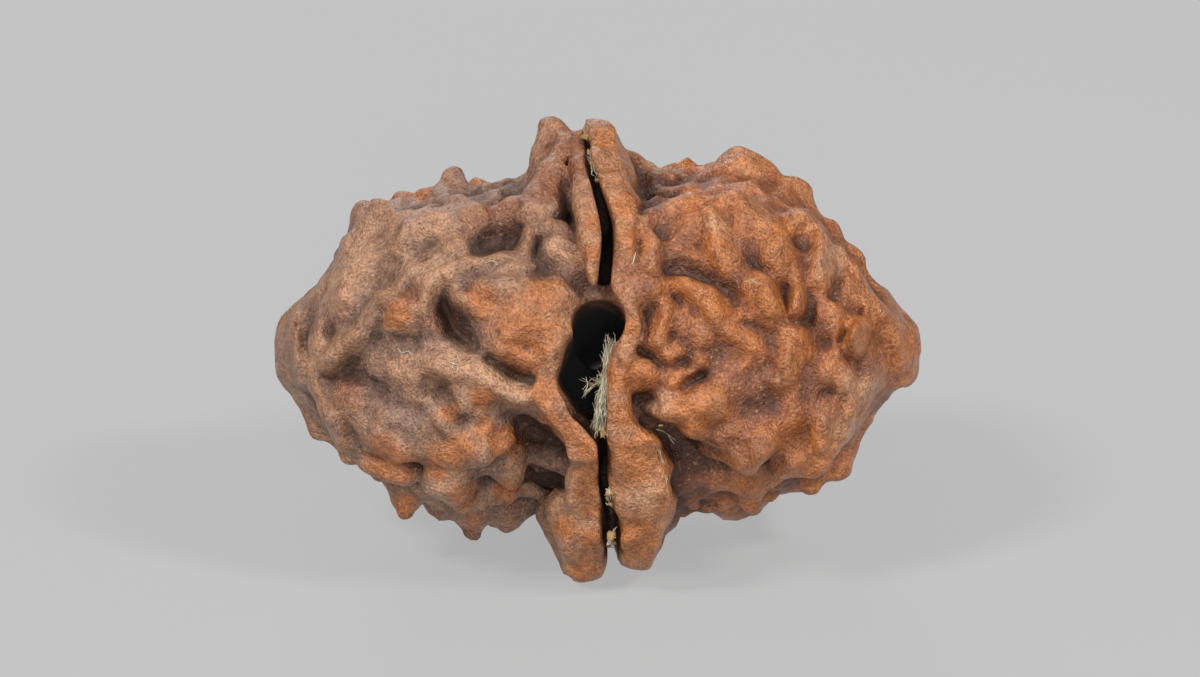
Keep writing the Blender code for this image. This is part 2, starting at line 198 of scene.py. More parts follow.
CREASES = [
    # left face
    ([(-11.3, 0.9), (-11.1, 0.5), (-11.2, 0.0)], 0.4, 0.25),
    ([(-10.2, 0.8), (-10.0, 0.3), (-10.3, 0.0)], 0.4, 0.3),
    ([(-10.4, -1.0), (-9.4, -1.35), (-8.4, -1.45)], 0.55, 0.45),
    ([(-8.3, -1.5), (-7.0, -2.4), (-6.2, -3.0)], 0.5, 0.25),
    ([(-7.1, 2.1), (-6.95, 1.5)], 0.4, 0.3),
    ([(-5.7, 1.7), (-5.35, 0.9), (-4.9, 0.1)], 0.9, 0.6),
    ([(-5.0, 2.65), (-3.8, 2.85), (-2.8, 3.1), (-2.45, 3.6), (-2.3, 4.2)], 0.35, 0.38),
    ([(-2.0, 2.95), (-1.9, 2.85)], 0.45, 0.4),
    ([(-1.55, 2.85), (-1.4, 2.8)], 0.35, 0.4),
    ([(-4.3, 1.75), (-3.7, 1.2), (-3.0, 0.8)], 0.38, 0.32),
    ([(-4.1, -0.6), (-3.2, -1.1), (-2.4, -1.2), (-1.8, -1.1)], 0.45, 0.45),
    ([(-4.6, -2.15), (-4.5, -2.25)], 0.4, 0.4),
    ([(-1.25, 5.0), (-1.3, 6.0), (-1.3, 6.6)], 0.45, 0.4),
    ([(-6.5, 4.1), (-5.9, 3.9)], 0.45, 0.2),
    # right face
    ([(1.3, 3.05), (1.5, 2.95)], 0.5, 0.45),
    ([(1.1, 4.6), (1.7, 4.5)], 0.3, 0.25),
    ([(1.75, 1.5), (1.6, 1.1), (1.45, 0.6)], 0.35, 0.4),
    ([(2.6, 2.85), (3.6, 2.65), (4.6, 2.3)], 0.4, 0.25),
    ([(5.0, 2.1), (5.6, 2.0)], 0.4, 0.25),
    ([(6.2, 0.4), (6.7, 0.9), (7.4, 1.2), (7.9, 1.2)], 0.42, 0.38),
    ([(9.9, 1.3), (9.5, 0.6), (9.1, 0.2), (9.4, -0.4)], 0.42, 0.35),
    ([(2.9, -1.45), (3.3, -1.1), (3.6, -0.8)], 0.3, 0.3),
    ([(1.9, -0.4), (2.2, -0.7)], 0.3, 0.25),
    ([(1.3, -1.95), (2.2, -1.9)], 0.4, 0.5),
    ([(3.3, -3.3), (4.2, -3.5)], 0.7, 0.75),
    ([(7.0, 4.5), (7.6, 4.4)], 0.35, 0.25),
    ([(5.5, 3.6), (5.7, 3.2)], 0.8, 0.3),
    ([(6.6, -4.5), (6.3, -4.2)], 0.4, 0.3),
]

# Broad hollows where the faces fall away beside the lips, each a route, a half width and a depth

HOLLOWS = [
    ([(-8.3, -5.0), (-6.8, -5.0), (-5.0, -5.3), (-3.6, -5.0)], 1.3, 0.75),
    ([(-7.0, -4.0), (-6.4, -4.3)], 0.8, 0.6),
    ([(-6.6, -5.2), (-6.7, -5.6)], 0.5, 0.5),
    ([(-2.5, -3.3), (-1.9, -4.6), (-1.8, -6.0)], 1.8, 1.25),
    ([(-3.8, -5.0), (-2.8, -6.0)], 1.4, 0.9),
    ([(-4.2, 4.6), (-3.3, 4.6)], 1.0, 0.3),
    ([(-1.9, 5.9), (-2.2, 5.5)], 0.9, 0.4),
    ([(2.9, -3.5), (3.9, -3.9)], 1.1, 0.7),
    ([(0.9, 5.3), (1.6, 5.6), (2.3, 5.7)], 0.9, 0.9),
    ([(6.4, -4.9), (6.0, -5.1)], 0.8, 0.5),
]

# Teeth and webs on the viewer's side, from and to (u, v, lift above the body), with the radius at each

TEETH = [
    # knobs below the upper edge of the left lobe
    ((-5.1, 4.5, 0.0), (-5.1, 5.35, 0.75), 0.95, 0.45),
    ((-3.5, 4.4, 0.0), (-3.3, 5.3, 0.8), 0.85, 0.4),
    ((-7.0, 4.0, 0.1), (-6.9, 4.8, 0.65), 0.9, 0.45),
    ((-8.6, 3.8, 0.0), (-8.5, 4.4, 0.5), 0.8, 0.4),
    # over the dark cavity beside the lip
    ((-4.1, -2.6, 0.1), (-3.45, -3.6, 0.7), 1.05, 0.34),
    ((-3.6, -2.0, 0.2), (-2.7, -1.85, 0.3), 0.5, 0.45),
    ((-2.7, -1.85, 0.3), (-1.9, -2.5, 0.4), 0.45, 0.42),
    # webs between the lip and the teeth
    ((-3.0, -3.75, -0.7), (-1.9, -4.0, -0.5), 0.25, 0.25),
    ((-1.9, -4.0, -0.5), (-0.9, -4.5, 0.1), 0.25, 0.3),
    ((-4.3, -5.3, -0.5), (-3.4, -5.3, -0.3), 0.35, 0.28),
    ((-3.4, -5.3, -0.3), (-2.6, -5.1, -0.3), 0.28, 0.25),
    ((-2.6, -5.1, -0.3), (-1.8, -5.4, -0.3), 0.25, 0.26),
    ((-1.8, -5.4, -0.3), (-0.9, -6.3, 0.3), 0.26, 0.35),
    # fingers
    ((-3.4, -4.1, -0.4), (-3.1, -4.8, 0.0), 0.85, 0.35),
    ((-5.8, -3.0, 0.0), (-5.4, -3.7, 0.6), 1.1, 0.75),
    ((-5.6, -3.6, 0.5), (-4.7, -3.8, 0.55), 0.6, 0.5),
    ((-5.45, -4.5, 0.1), (-5.05, -5.5, 0.4), 1.15, 0.4),
    ((-8.6, -3.5, 0.0), (-8.3, -4.0, 0.4), 0.8, 0.55),
    ((-8.3, -4.0, 0.4), (-7.0, -4.5, 0.4), 0.6, 0.55),
    ((-7.15, -4.8, -0.2), (-7.24, -5.95, 0.1), 1.15, 0.26),
    ((-6.3, -4.6, -0.3), (-6.05, -5.55, 0.0), 0.9, 0.28),
    ((3.1, -4.6, -0.3), (3.5, -5.85, -0.2), 0.9, 0.28),
    ((4.4, -4.9, -0.4), (4.5, -5.75, -0.3), 0.8, 0.3),
    ((5.5, -4.9, -0.3), (5.67, -6.0, -0.2), 0.85, 0.26),
    ((2.3, -4.6, -0.3), (2.4, -5.7, -0.2), 0.8, 0.35),
]

# Horns on the outline and behind it, from root to tip (u, v, w), with the radius at each

HORNS = [
    # the two horns of the left lip and their partners on the far side
    ((-2.05, 5.4, -1.0), (-1.76, 8.2, -0.6), 1.0, 0.36),
    ((-2.3, 5.0, -4.2), (-1.8, 6.5, -3.2), 0.85, 0.55),
    ((-1.8, 6.5, -3.2), (-1.45, 7.7, -1.9), 0.55, 0.3),
    ((-2.3, 5.0, 1.6), (-1.8, 6.4, 1.6), 1.5, 0.6),
    ((-1.8, 4.4, 4.0), (-1.5, 5.4, 4.3), 1.4, 0.6),
    # flank of the left lip, below
    ((-1.2, -5.9, -3.4), (-0.8, -7.9, -2.6), 0.6, 0.45),
    ((-1.75, -5.9, -1.6), (-0.95, -8.0, -1.2), 0.6, 0.42),
    # upper edge of the left lobe
    ((-5.4, 4.9, 0.8), (-5.45, 6.4, 0.9), 1.5, 0.35),
    ((-6.7, 4.6, -0.4), (-6.5, 5.65, -0.3), 1.2, 0.4),
    ((-8.4, 3.8, -0.3), (-8.5, 4.8, -0.2), 1.2, 0.75),
    ((-7.7, 4.2, -0.3), (-7.6, 4.8, -0.2), 1.1, 0.7),
    ((-9.0, 3.6, 0.0), (-8.95, 4.2, 0.0), 0.8, 0.45),
    ((-4.2, 4.9, 0.2), (-4.3, 5.9, 0.2), 1.1, 0.3),
    ((-3.1, 4.9, 0.0), (-3.2, 5.85, 0.0), 1.0, 0.3),
    ((-11.1, 0.8, 0.0), (-11.2, -0.9, 0.0), 0.75, 0.7),
    # lower edge of the left lobe
    ((-4.7, -5.1, 0.4), (-4.77, -6.7, 0.8), 1.5, 0.3),
    ((-3.9, -4.5, 0.6), (-3.65, -6.1, 0.6), 1.0, 0.28),
    ((-9.2, -3.0, 0.0), (-9.3, -3.95, 0.0), 0.9, 0.35),
    ((-8.3, -3.8, 0.2), (-8.3, -4.75, 0.2), 0.9, 0.35),
    ((-10.3, -2.0, 0.0), (-10.3, -3.0, 0.0), 0.8, 0.38),
    # upper edge of the right lobe
    ((1.0, 5.9, 0.6), (1.1, 7.15, 0.6), 0.9, 0.45),
    ((1.6, 5.6, 0.6), (1.8, 6.7, 0.6), 0.9, 0.35),
    ((2.4, 5.5, 0.3), (2.5, 6.5, 0.3), 1.0, 0.35),
    ((3.3, 5.4, 1.0), (3.35, 6.65, 1.0), 0.9, 0.3),
    ((4.1, 5.5, 0.4), (4.1, 6.45, 0.4), 1.1, 0.45),
    ((4.9, 5.4, 0.0), (5.0, 6.4, 0.1), 1.5, 0.9),
    ((5.5, 5.4, 0.0), (5.6, 6.3, 0.1), 1.3, 0.85),
    ((6.0, 5.2, 0.0), (6.1, 6.2, 0.0), 1.2, 0.5),
    ((6.9, 4.9, 0.0), (7.0, 5.95, 0.0), 1.1, 0.5),
    ((7.3, 4.7, 0.0), (7.35, 5.8, 0.0), 1.0, 0.45),
    ((8.3, 3.8, 0.0), (8.4, 4.3, 0.0), 0.9, 0.55),
    ((9.2, 2.8, 0.0), (9.3, 3.2, 0.0), 0.9, 0.6),
    ((11.0, 0.3, 0.0), (11.3, -0.6, 0.0), 0.85, 0.65),
    # lower edge of the right lobe
    ((1.5, -5.4, 0.2), (1.35, -7.5, 0.2), 0.95, 0.52),
    ((2.3, -5.0, 0.8), (2.2, -6.2, 0.8), 0.9, 0.5),
    ((3.5, -4.6, 0.8), (3.7, -5.75, 0.9), 1.1, 0.3),
    ((4.7, -4.6, 1.0), (4.8, -5.7, 1.0), 1.1, 0.3),
    ((5.5, -4.5, 0.4), (5.65, -5.9, 0.4), 1.2, 0.3),
    ((6.3, -4.3, 0.6), (6.35, -5.6, 0.6), 1.0, 0.26),
    ((7.4, -3.9, 0.1), (7.8, -5.15, 0.1), 1.3, 0.4),
    ((8.6, -3.4, 0.1), (8.8, -4.6, 0.1), 1.1, 0.5),
    ((9.3, -2.9, 0.0), (9.3, -3.7, 0.0), 0.9, 0.55),
    # a tooth of the far side that the seed rests on
    ((5.5, -4.4, 3.2), (5.7, -5.9, 4.8), 1.1, 0.6),
]

# The walls that carry the lips, as stations (v, middle u, half width) seen in the picture

LEFT_LIP_ABOVE = [
    (8.2, -0.90, 0.12), (7.9, -0.89, 0.2), (7.2, -0.80, 0.24), (6.6, -0.68, 0.25), (5.7, -0.52, 0.28),
    (4.5, -0.38, 0.29), (3.6, -0.32, 0.27), (2.75, -0.29, 0.24), (2.2, -0.2, 0.2),
]
RIGHT_LIP = [
    (8.6, -0.1, 0.3), (8.2, -0.07, 0.48), (7.66, 0.07, 0.5), (7.0, 0.33, 0.5), (6.4, 0.45, 0.45),
    (5.9, 0.6, 0.41), (5.4, 0.8, 0.44), (4.8, 0.74, 0.34), (4.2, 0.77, 0.32), (3.2, 0.78, 0.34),
    (2.3, 0.9, 0.30), (1.6, 1.12, 0.22), (0.9, 1.25, 0.22), (0.2, 1.1, 0.28), (-0.8, 0.8, 0.28),
    (-1.8, 0.85, 0.32), (-2.8, 0.95, 0.42), (-3.4, 1.25, 0.7), (-4.4, 1.4, 0.8), (-5.0, 1.35, 0.75),
    (-5.5, 1.5, 0.85), (-6.0, 1.5, 0.8), (-7.0, 1.4, 0.6), (-7.7, 1.35, 0.46), (-8.3, 1.35, 0.3),
]
LEFT_LIP_BELOW = [
    (-0.9, -1.75, 0.2), (-1.8, -1.9, 0.26), (-2.4, -1.75, 0.3), (-2.95, -1.15, 0.36), (-3.56, -0.6, 0.38),
    (-4.3, -0.38, 0.38), (-5.3, -0.4, 0.4), (-6.1, -0.5, 0.5), (-6.6, -0.6, 0.64), (-7.3, -0.64, 0.68),
    (-8.0, -0.6, 0.58), (-8.5, -0.57, 0.4), (-8.9, -0.57, 0.25),
]
# on the far side, which the picture doesn't show, the left lip runs on without a break
LEFT_LIP_BEHIND = [
    (4.2, -0.52, 0.44), (2.8, -0.55, 0.4), (1.2, -0.75, 0.42), (-0.3, -1.05, 0.38), (-1.8, -1.45, 0.36),
    (-2.8, -1.35, 0.38),
]
# stations, lowest v, highest v, nearest w, height and depth of the rim, and how much the wall widens
# inwards, down to the widening's depth
WALLS = [
    (LEFT_LIP_ABOVE, 2.2, 8.1, -9.0, 8.6, 7.55, 0.1),
    (RIGHT_LIP, -7.95, 8.75, -9.0, 8.85, 7.5, 0.16),
    (LEFT_LIP_BELOW, -8.68, -1.0, -9.0, 8.8, 7.45, 0.12),
    (LEFT_LIP_BEHIND, -2.8, 4.2, 2.0, 8.6, 7.45, 0.16),
]
WIDENING_DEPTH = 3
# width of the lips' bumps, seed, height along the rim and thickness across it
LIP_BUMPS = [(1.5, 91, 0.24, 0.08), (0.7, 92, 0.16, 0.1)]
# the dark gap between the lips, as (v, u, half width)
GAP = [
    (9.5, -0.66, 0.1), (8.4, -0.62, 0.09), (7.66, -0.56, 0.12), (7.2, -0.4, 0.15), (6.6, -0.22, 0.18),
    (5.9, -0.02, 0.19), (5.16, 0.12, 0.24), (4.5, 0.2, 0.26), (3.2, 0.2, 0.25), (2.0, 0.2, 0.25),
    (-3.2, 0.22, 0.16), (-3.8, 0.24, 0.16), (-4.8, 0.2, 0.17), (-5.8, 0.32, 0.18), (-6.8, 0.45, 0.2),
    (-7.6, 0.48, 0.2), (-9.5, 0.5, 0.35),
]
# the dark opening below the hole, as (u, v, radius)
OPENING = [(-0.45, -0.1, 0.85), (-0.65, -1.2, 0.98), (-0.35, -2.1, 0.7), (-0.02, -2.9, 0.32)]

# Where the surface is polished orange, plum brown or pale with dust: (u, v, radius) as seen from the front

ORANGE_SPOTS = [
    (-2.6, 0.6, 1.5), (-2.2, 1.8, 1.0), (-4.3, 1.7, 0.7), (-3.0, -0.3, 0.9), (-0.35, 4.6, 0.4),
    (-0.3, 3.5, 0.35), (4.9, 1.6, 0.9), (-2.0, -1.6, 0.7), (-1.8, -2.6, 0.5), (-1.2, -3.0, 0.6),
    (-0.5, -3.7, 0.6), (-0.4, -4.6, 0.6), (-0.4, -5.9, 0.5), (-0.6, -8.2, 0.7), (-0.3, -7.0, 0.5),
    (-5.4, -2.4, 0.5), (-4.3, -1.9, 0.6), (-3.4, -3.4, 0.7), (-4.2, -2.9, 0.5), (-5.4, -3.7, 1.0),
    (-8.0, -4.1, 1.0), (-7.2, -5.8, 0.6), (-6.0, -4.4, 0.5), (-5.1, -5.6, 0.5), (-7.4, 1.2, 0.6),
    (-6.7, 5.9, 0.4), (0.8, -1.0, 0.6), (0.9, -2.5, 0.6), (1.2, -3.7, 0.9), (1.1, 0.8, 0.4),
    (1.3, 4.0, 0.6), (0.2, 7.9, 0.6), (0.9, 7.3, 0.5), (0.9, 5.2, 0.5), (1.5, -1.1, 0.7),
    (3.0, -1.1, 0.6), (3.3, -2.5, 0.9), (6.3, 1.8, 0.8), (4.2, 1.5, 0.6), (7.6, 1.9, 0.5),
    (3.3, 5.6, 0.6), (10.3, 0.5, 0.7), (11.4, -0.4, 0.9), (5.4, -4.9, 0.6), (8.0, -5.0, 1.0),
    (1.3, -7.0, 0.9), (5.6, -6.0, 0.6), (-1.3, -6.6, 0.6), (3.6, -5.9, 0.6), (6.6, 4.4, 0.6),
    (1.8, 6.4, 0.5), (9.2, 0.9, 0.5), (2.2, 0.9, 0.4), (5.2, 0.2, 0.9), (2.9, 2.1, 0.8), (7.6, 0.2, 0.8),
    (3.9, 3.6, 0.8), (-7.2, -4.4, 0.7), (-5.0, -5.4, 0.6), (-3.5, -5.2, 0.5), (-4.7, -6.6, 0.5),
    (-7.3, -6.0, 0.5), (-0.5, -5.3, 0.6), (1.3, -4.4, 0.7), (7.4, -3.2, 0.8),
]
PLUM_SPOTS = [
    (3.2, 3.8, 0.8), (1.6, 2.6, 0.6), (-3.8, 4.6, 1.2), (-2.0, 6.0, 0.8), (5.6, -1.6, 1.3),
    (7.8, -1.9, 1.1), (-5.6, 1.0, 0.7), (0.9, 3.0, 0.5), (4.4, -3.4, 0.9), (5.3, -3.4, 0.9),
    (-2.6, -3.2, 0.9), (-6.9, 1.9, 0.5), (1.6, 5.4, 0.9), (-9.3, -1.5, 0.8), (3.2, -4.0, 0.8),
    (9.8, -0.6, 0.6), (-3.2, -5.6, 0.7), (-0.8, 6.6, 0.7), (-1.0, 7.6, 0.6), (-1.7, 7.6, 0.6),
]
PALE_SPOTS = [
    (-5.3, -1.1, 1.4), (-1.5, 3.6, 0.6), (4.3, 4.6, 0.5), (9.4, -1.5, 0.9), (-8.2, 3.2, 1.5),
    (-9.8, 2.2, 1.0), (-7.2, -0.6, 0.9), (-5.8, 2.6, 0.7), (9.0, -2.9, 0.8), (8.4, 3.2, 0.8),
    (-6.2, 4.4, 0.8), (2.2, -2.0, 0.6), (-3.0, -1.6, 0.6), (-10.5, -0.2, 0.8), (1.4, -5.4, 0.8),
    (-3.0, -4.6, 0.7), (-5.4, -4.8, 0.9), (-0.6, -5.2, 0.9), (-0.5, -6.3, 0.7), (-4.2, -1.0, 0.8),
    (-5.0, -1.9, 0.6), (2.8, -3.0, 0.5),
]
# the same for the hidden swells, in turn, and how wide such a place is in widths of its swell
HIDDEN_MARKS = ("orange", "plum", "orange", "pale", "orange", "bare")
HIDDEN_MARK_WIDTH = 0.8
# how far a place spreads, in its own radii, and how far back (w) the places of the front reach
MARK_SPREAD = 1.35
MARK_BACK = 0.5
# how far the material looks round for hollows of each size
HOLLOW_REACHES = (("crevice", 0.28), ("hollow", 0.75), ("depth", 1.7))
# how wide the left lobe's colour blends into the right lobe's
SIDE_BLEND = 6

# How the sides that the picture doesn't show are covered

HIDDEN_SEED = 11
HIDDEN_COUNT = 330
# the share of the seed's length that they cover, how far they stray round it in radians, and how clear
# of the lips they stay
HIDDEN_REACH = 0.97
HIDDEN_STRAY = 0.25
HIDDEN_CLEAR = 1.6
# how far back (w) they reach their full height, and the share of it that they begin with
HIDDEN_FULL = 4.0
HIDDEN_LEAST = 0.6
# least and most length, width and height of a hidden swell
HIDDEN_SIZES = ((0.2, 1.9), (0.7, 1.25), (0.5, 1.35))

# Cones on the hidden sides: place along the seed, angle round it from the back in degrees, length, and the
# radius of the tip
BACK_HORNS = [
    (-9.6, 20, 1.0, 0.5), (-8.2, -25, 1.1, 0.5), (-7.4, 48, 1.2, 0.5), (-6.2, 5, 1.0, 0.55),
    (-5.6, -48, 1.3, 0.5), (-4.6, 60, 1.3, 0.5), (-4.0, -12, 1.1, 0.6), (-3.2, 28, 1.0, 0.5),
    (-2.9, -55, 1.2, 0.5), (-9.0, -58, 0.9, 0.45), (-6.9, 72, 1.0, 0.45), (2.8, 10, 1.1, 0.55),
    (3.5, 55, 1.3, 0.5), (3.9, -38, 1.2, 0.55), (5.2, 30, 1.1, 0.5), (5.4, -8, 1.0, 0.55),
    (6.4, -60, 1.2, 0.5), (6.9, 58, 1.2, 0.5), (7.4, 12, 1.1, 0.5), (8.3, -30, 1.0, 0.5),
    (9.0, 38, 1.0, 0.45), (9.9, -5, 0.9, 0.5), (2.6, 74, 1.0, 0.5), (4.8, -75, 1.1, 0.5),
]

# how deep their roots are and how much wider
BACK_HORN_ROOT = 0.8
BACK_HORN_SPREAD = 0.4

# Small unevenness everywhere: width of its bumps, seed, height
ROUGHNESS = [(1.5, 73, 0.12), (0.8, 71, 0.1), (0.42, 72, 0.065)]

# Bowls that cover the body, with ridges between: width, seed, and depth on the front and on the back
DIMPLES = [(2.3, 81, 0.2, 0.35), (1.25, 82, 0.24, 0.42)]

# The gap between the lips, the opening and the painted shade inside

# the gap stops beside the string hole, between these heights
GAP_PAUSE = (-3.2, 2.2)
# it ends at a core: its measure, its radius, how far along u it is followed, and a web through the middle
GAP_FLOOR = 0.74
CORE_RADIUS = 5
GAP_REACH = 2
GAP_WEB = 1.2
# how far from the middle the opening ends, and how it narrows from the rim inwards
OPENING_DEPTH = 3.4
RIM_DEPTH = 7.5
OPENING_TAPER = 0.1
TAPER_DEPTH = 4
# the near-black painted shade inside, near the middle of the seed: how far along u, below which measure,
# and how sharp its edge
INSIDE_REACH = 2.2
INSIDE_START = 0.86
INSIDE_SHARPNESS = 6

# Dry fibres

FIBRE_SEED = 23
FIBRE_POINTS = 7
FIBRE_SIDES = 5
GUIDE_POINTS = 40
# where along its bundle a fibre has its middle and how far it reaches from there, as shares of the bundle
FIBRE_CENTRES = (0.05, 0.95)
FIBRE_REACHES = (0.08, 0.3)
FIBRE_SIZES = (0.6, 1.2)
FIBRE_KINKS = 0.02
FIBRE_THINNING = 0.6
# a direction that no fibre runs along
FIBRE_ASIDE = (0.3, 0.2, 1.0)
# bundles: a route (u, v, depth below the lips' rim), how many fibres, how far they stray, their radius
FIBRES = [
    # pale fleece on the right wall of the dark opening, and the tufts that stand off it
    (
        [(0.5, 0.2, 0.95), (0.4, -0.6, 0.85), (0.3, -1.4, 0.7), (0.12, -2.1, 0.55), (0.0, -2.9, 0.35)],
        320, 0.2, 0.016,
    ),
    ([(0.3, -0.9, 0.9), (-0.1, -1.2, 1.0), (-0.6, -1.5, 1.15)], 30, 0.2, 0.015),
    ([(0.15, -2.0, 0.6), (0.0, -2.6, 0.5), (0.0, -3.1, 0.3)], 40, 0.14, 0.016),
    # wisps in the gap
    ([(0.35, -5.1, 0.3), (0.3, -5.4, 0.3), (0.35, -5.8, 0.3)], 12, 0.1, 0.016),
    ([(0.45, -6.7, 0.3), (0.4, -7.1, 0.3), (0.5, -7.4, 0.3)], 12, 0.1, 0.016),
    ([(-0.5, 7.4, 0.3), (-0.3, 7.0, 0.3), (-0.15, 6.2, 0.3)], 12, 0.1, 0.016),
]
# single fibres that lie on the surface: a route (u, v) as the viewer sees it
LOOSE_FIBRES = [
    [(1.95, -2.9), (2.35, -3.05), (2.8, -3.4)], [(2.05, -2.95), (2.5, -3.2), (2.75, -3.55)],
    [(2.0, -3.5), (2.35, -4.2), (2.4, -4.8), (2.5, -5.4)], [(2.15, -3.6), (2.3, -4.3), (2.5, -4.9)],
    [(1.15, -2.95), (1.0, -3.3), (0.95, -3.55)], [(0.95, 2.9), (1.2, 3.1), (1.3, 3.5)],
    [(-7.3, -0.2), (-7.0, -0.1), (-6.8, -0.25)], [(-7.4, 0.0), (-7.2, -0.2), (-7.1, -0.5)],
    [(-5.5, -0.5), (-5.2, -0.6), (-4.9, -0.4)], [(-5.4, -0.8), (-5.3, -0.5), (-5.4, -0.3)],
    [(-5.2, -0.9), (-5.1, -0.5), (-5.2, -0.2)], [(-4.2, 3.1), (-3.9, 3.2), (-3.7, 3.0)],
    [(-2.2, 1.0), (-1.9, 1.2), (-1.7, 1.1)], [(5.2, 2.4), (5.5, 2.5), (5.8, 2.3)],
]
LOOSE_LIFT = 0.06
LOOSE_RADIUS = 0.02

# Crumbs of dry husk: (u, v, depth below the lips' rim, radius), where no depth means on the surface

CRUMB_SEED = 29
CRUMB_LUMPS = 0.2
CRUMB_SIZES = (0.6, 1.4)
CRUMB_SUNK = 0.3
CRUMBS = [
    (0.1, -3.05, 0.2, 0.14), (0.0, -2.95, 0.2, 0.09), (0.3, -3.15, 0.2, 0.09), (0.35, -5.3, 0.3, 0.13),
    (0.28, -5.5, 0.3, 0.09), (0.4, -5.7, 0.3, 0.09), (0.42, -6.9, 0.3, 0.14), (0.5, -7.15, 0.3, 0.1),
    (0.35, -7.3, 0.25, 0.1), (-0.55, 7.8, 0.25, 0.12), (-0.4, 7.2, 0.25, 0.12), (-0.1, 6.15, 0.25, 0.12),
    (-0.3, 6.8, 0.25, 0.09), (2.2, -2.75, None, 0.1), (2.25, -2.8, None, 0.08), (-0.1, -1.25, 1.0, 0.1),
    (-0.3, -1.3, 1.0, 0.08),
]

# How the seed rests: leaned back onto its lip tips and back knobs

REST_TILT = math.radians(20)
REST_HEIGHT = 7.54

# Camera and studio: lens and height of the frame's centre in millimetres, all other lengths in metres

LENS = 200.0
CLIP_START = 0.01
FRAME_WIDTH = 0.04486
FRAME_CENTRE = 0.355
FLOOR_REACH = 1.0
WORLD_STRENGTH = 0.19
LIGHT_TARGET = Vector((0.0, 0.0, 0.007))
# name, place, size, power in watts, tint
LIGHTS = [
    ("light_left", (-0.26, -0.20, 0.36), 0.12, 1.85, (1.0, 0.985, 0.965)),
    ("light_right", (0.30, -0.15, 0.33), 0.10, 1.45, (1.0, 0.985, 0.96)),
    ("light_front", (0.02, -0.42, 0.14), 0.16, 0.9, (1.0, 1.0, 1.0)),
    ("light_back", (-0.08, 0.44, 0.2), 0.20, 0.5, (1.0, 0.99, 0.98)),
]

# Numbers of the sculpt, in millimetres where they are lengths

VOXEL = 0.12
MOST_TRIANGLES = 195000
BLOCK_HIGH = (13.0, 9.6, 8.8)
FINE_STEP = 0.02
BLUR_CELLS = 50
# how near its outline a route on the front may come, as a share of the half height
FRONT_LIMIT = 0.985
NOISE_GAIN = 1.9
# soft noises: width of the bumps, seed, size
RELIEF_NOISE = (1.6, 61, 0.1)
WANDER = ((2.6, 3, 0.14), (1.2, 13, 0.07))
FRAY = (0.8, 41, 0.13)
FRAY_REACH = 1.2
# a measure that lengths are divided by is never less than these
LEAST_SHARE = 0.3
LEAST_MEASURE = 0.05
# how softly shapes melt into each other
SOFT_JOIN = 0.18
TIP_JOIN = 0.6
LIP_EDGE = 0.4
LIP_JOIN = 0.45
HORN_JOIN = 0.5
TOOTH_JOIN = 0.4
GAP_JOIN = 0.12
OPENING_EDGE = 0.6
OPENING_JOIN = 0.3
HOLE_JOIN = 0.15
# how far past an added rope the block is worked on
ROPE_MARGIN = 1.0
# how much wider and higher than listed the swells are made, and how blunt their crests are
SWELL_SPREAD = 1.32
SWELL_RISE = 1.15
SWELL_BLUNTNESS = 0.24
# height of the crests beside a crease, and how soft the edges of creases and hollows are
CREASE_LIFT = 0.5
SINK_POWER = 1.5
# bowls, in widths of a bowl: how far each is followed and its radius
DIMPLE_REACH = 1.1
DIMPLE_RADIUS = 0.6
# where a bowl's profile is capped, how it bends and by how much it is lowered
DIMPLE_RIM = 1.5
DIMPLE_BEND = 0.35
DIMPLE_LEVEL = 0.45
# how far back (w) the bowls begin to grow and how long they take to be full
BACK_START = 0.5
BACK_REACH = 3.0
# where the bowls end towards the tips, how long they take to fade, and what stays of them
TIP_START = 11.5
TIP_CALMING = 4.0
TIP_LEAST = 0.15
# what the roughness takes off everywhere, in its own heights
ROUGHNESS_LEVEL = 0.8


def section_curves():
    """A fine row of u values, and the sections as three smooth curves over it."""
    fine = np.arange(-BLOCK_HIGH[0], BLOCK_HIGH[0] + FINE_STEP / 20, FINE_STEP)
    stations, *values = np.array(SECTIONS).T
    reach = np.arange(-BLUR_CELLS, BLUR_CELLS + 1)
    weights = np.exp(-0.5 * (FINE_STEP * reach / SECTION_BLUR) ** 2)
    curves = [fine]
    for value in values:
        padded = np.pad(np.interp(fine, stations, value), BLUR_CELLS, mode="edge")
        curves.append(np.convolve(padded, weights / weights.sum(), "valid"))
    return curves


CURVE_U, CURVE_MIDDLE, CURVE_HEIGHT, CURVE_DEPTH = section_curves()


def middle(u):
    return np.interp(u, CURVE_U, CURVE_MIDDLE)


def half_height(u):
    return np.interp(u, CURVE_U, CURVE_HEIGHT)


def half_depth(u):
    return np.interp(u, CURVE_U, CURVE_DEPTH)


def lobe_measure(u, v, w):
    """1 on the plain body's surface, less inside and more outside."""
    tall = np.abs(v - middle(u)) / half_height(u)
    deep = np.abs(w) / half_depth(u)
    return (tall**SECTION_POWER + deep**SECTION_POWER) ** (1 / SECTION_POWER)


def feet_of(u, v, w, near_u):
    """Where places stand on the plain body, straight in towards the lobe's axis, and their measures."""
    measure = np.maximum(lobe_measure(near_u, v, w), LEAST_SHARE)
    return [u, middle(u) + (v - middle(u)) / measure, w / measure], measure


def spot_round(u, angle):
    """The point of the plain body at this angle round it, which is 0 at the back."""
    reach = 1 / lobe_measure(u, middle(u) + math.sin(angle), math.cos(angle))
    return np.array([u, middle(u) + reach * math.sin(angle), reach * math.cos(angle)])


def outwards(point):
    """Unit vector straight out of the plain body at this point of its surface."""
    steps = 0.05 * np.eye(3)
    slope = np.array([lobe_measure(*(point + step)) - lobe_measure(*(point - step)) for step in steps])
    return slope / np.linalg.norm(slope)


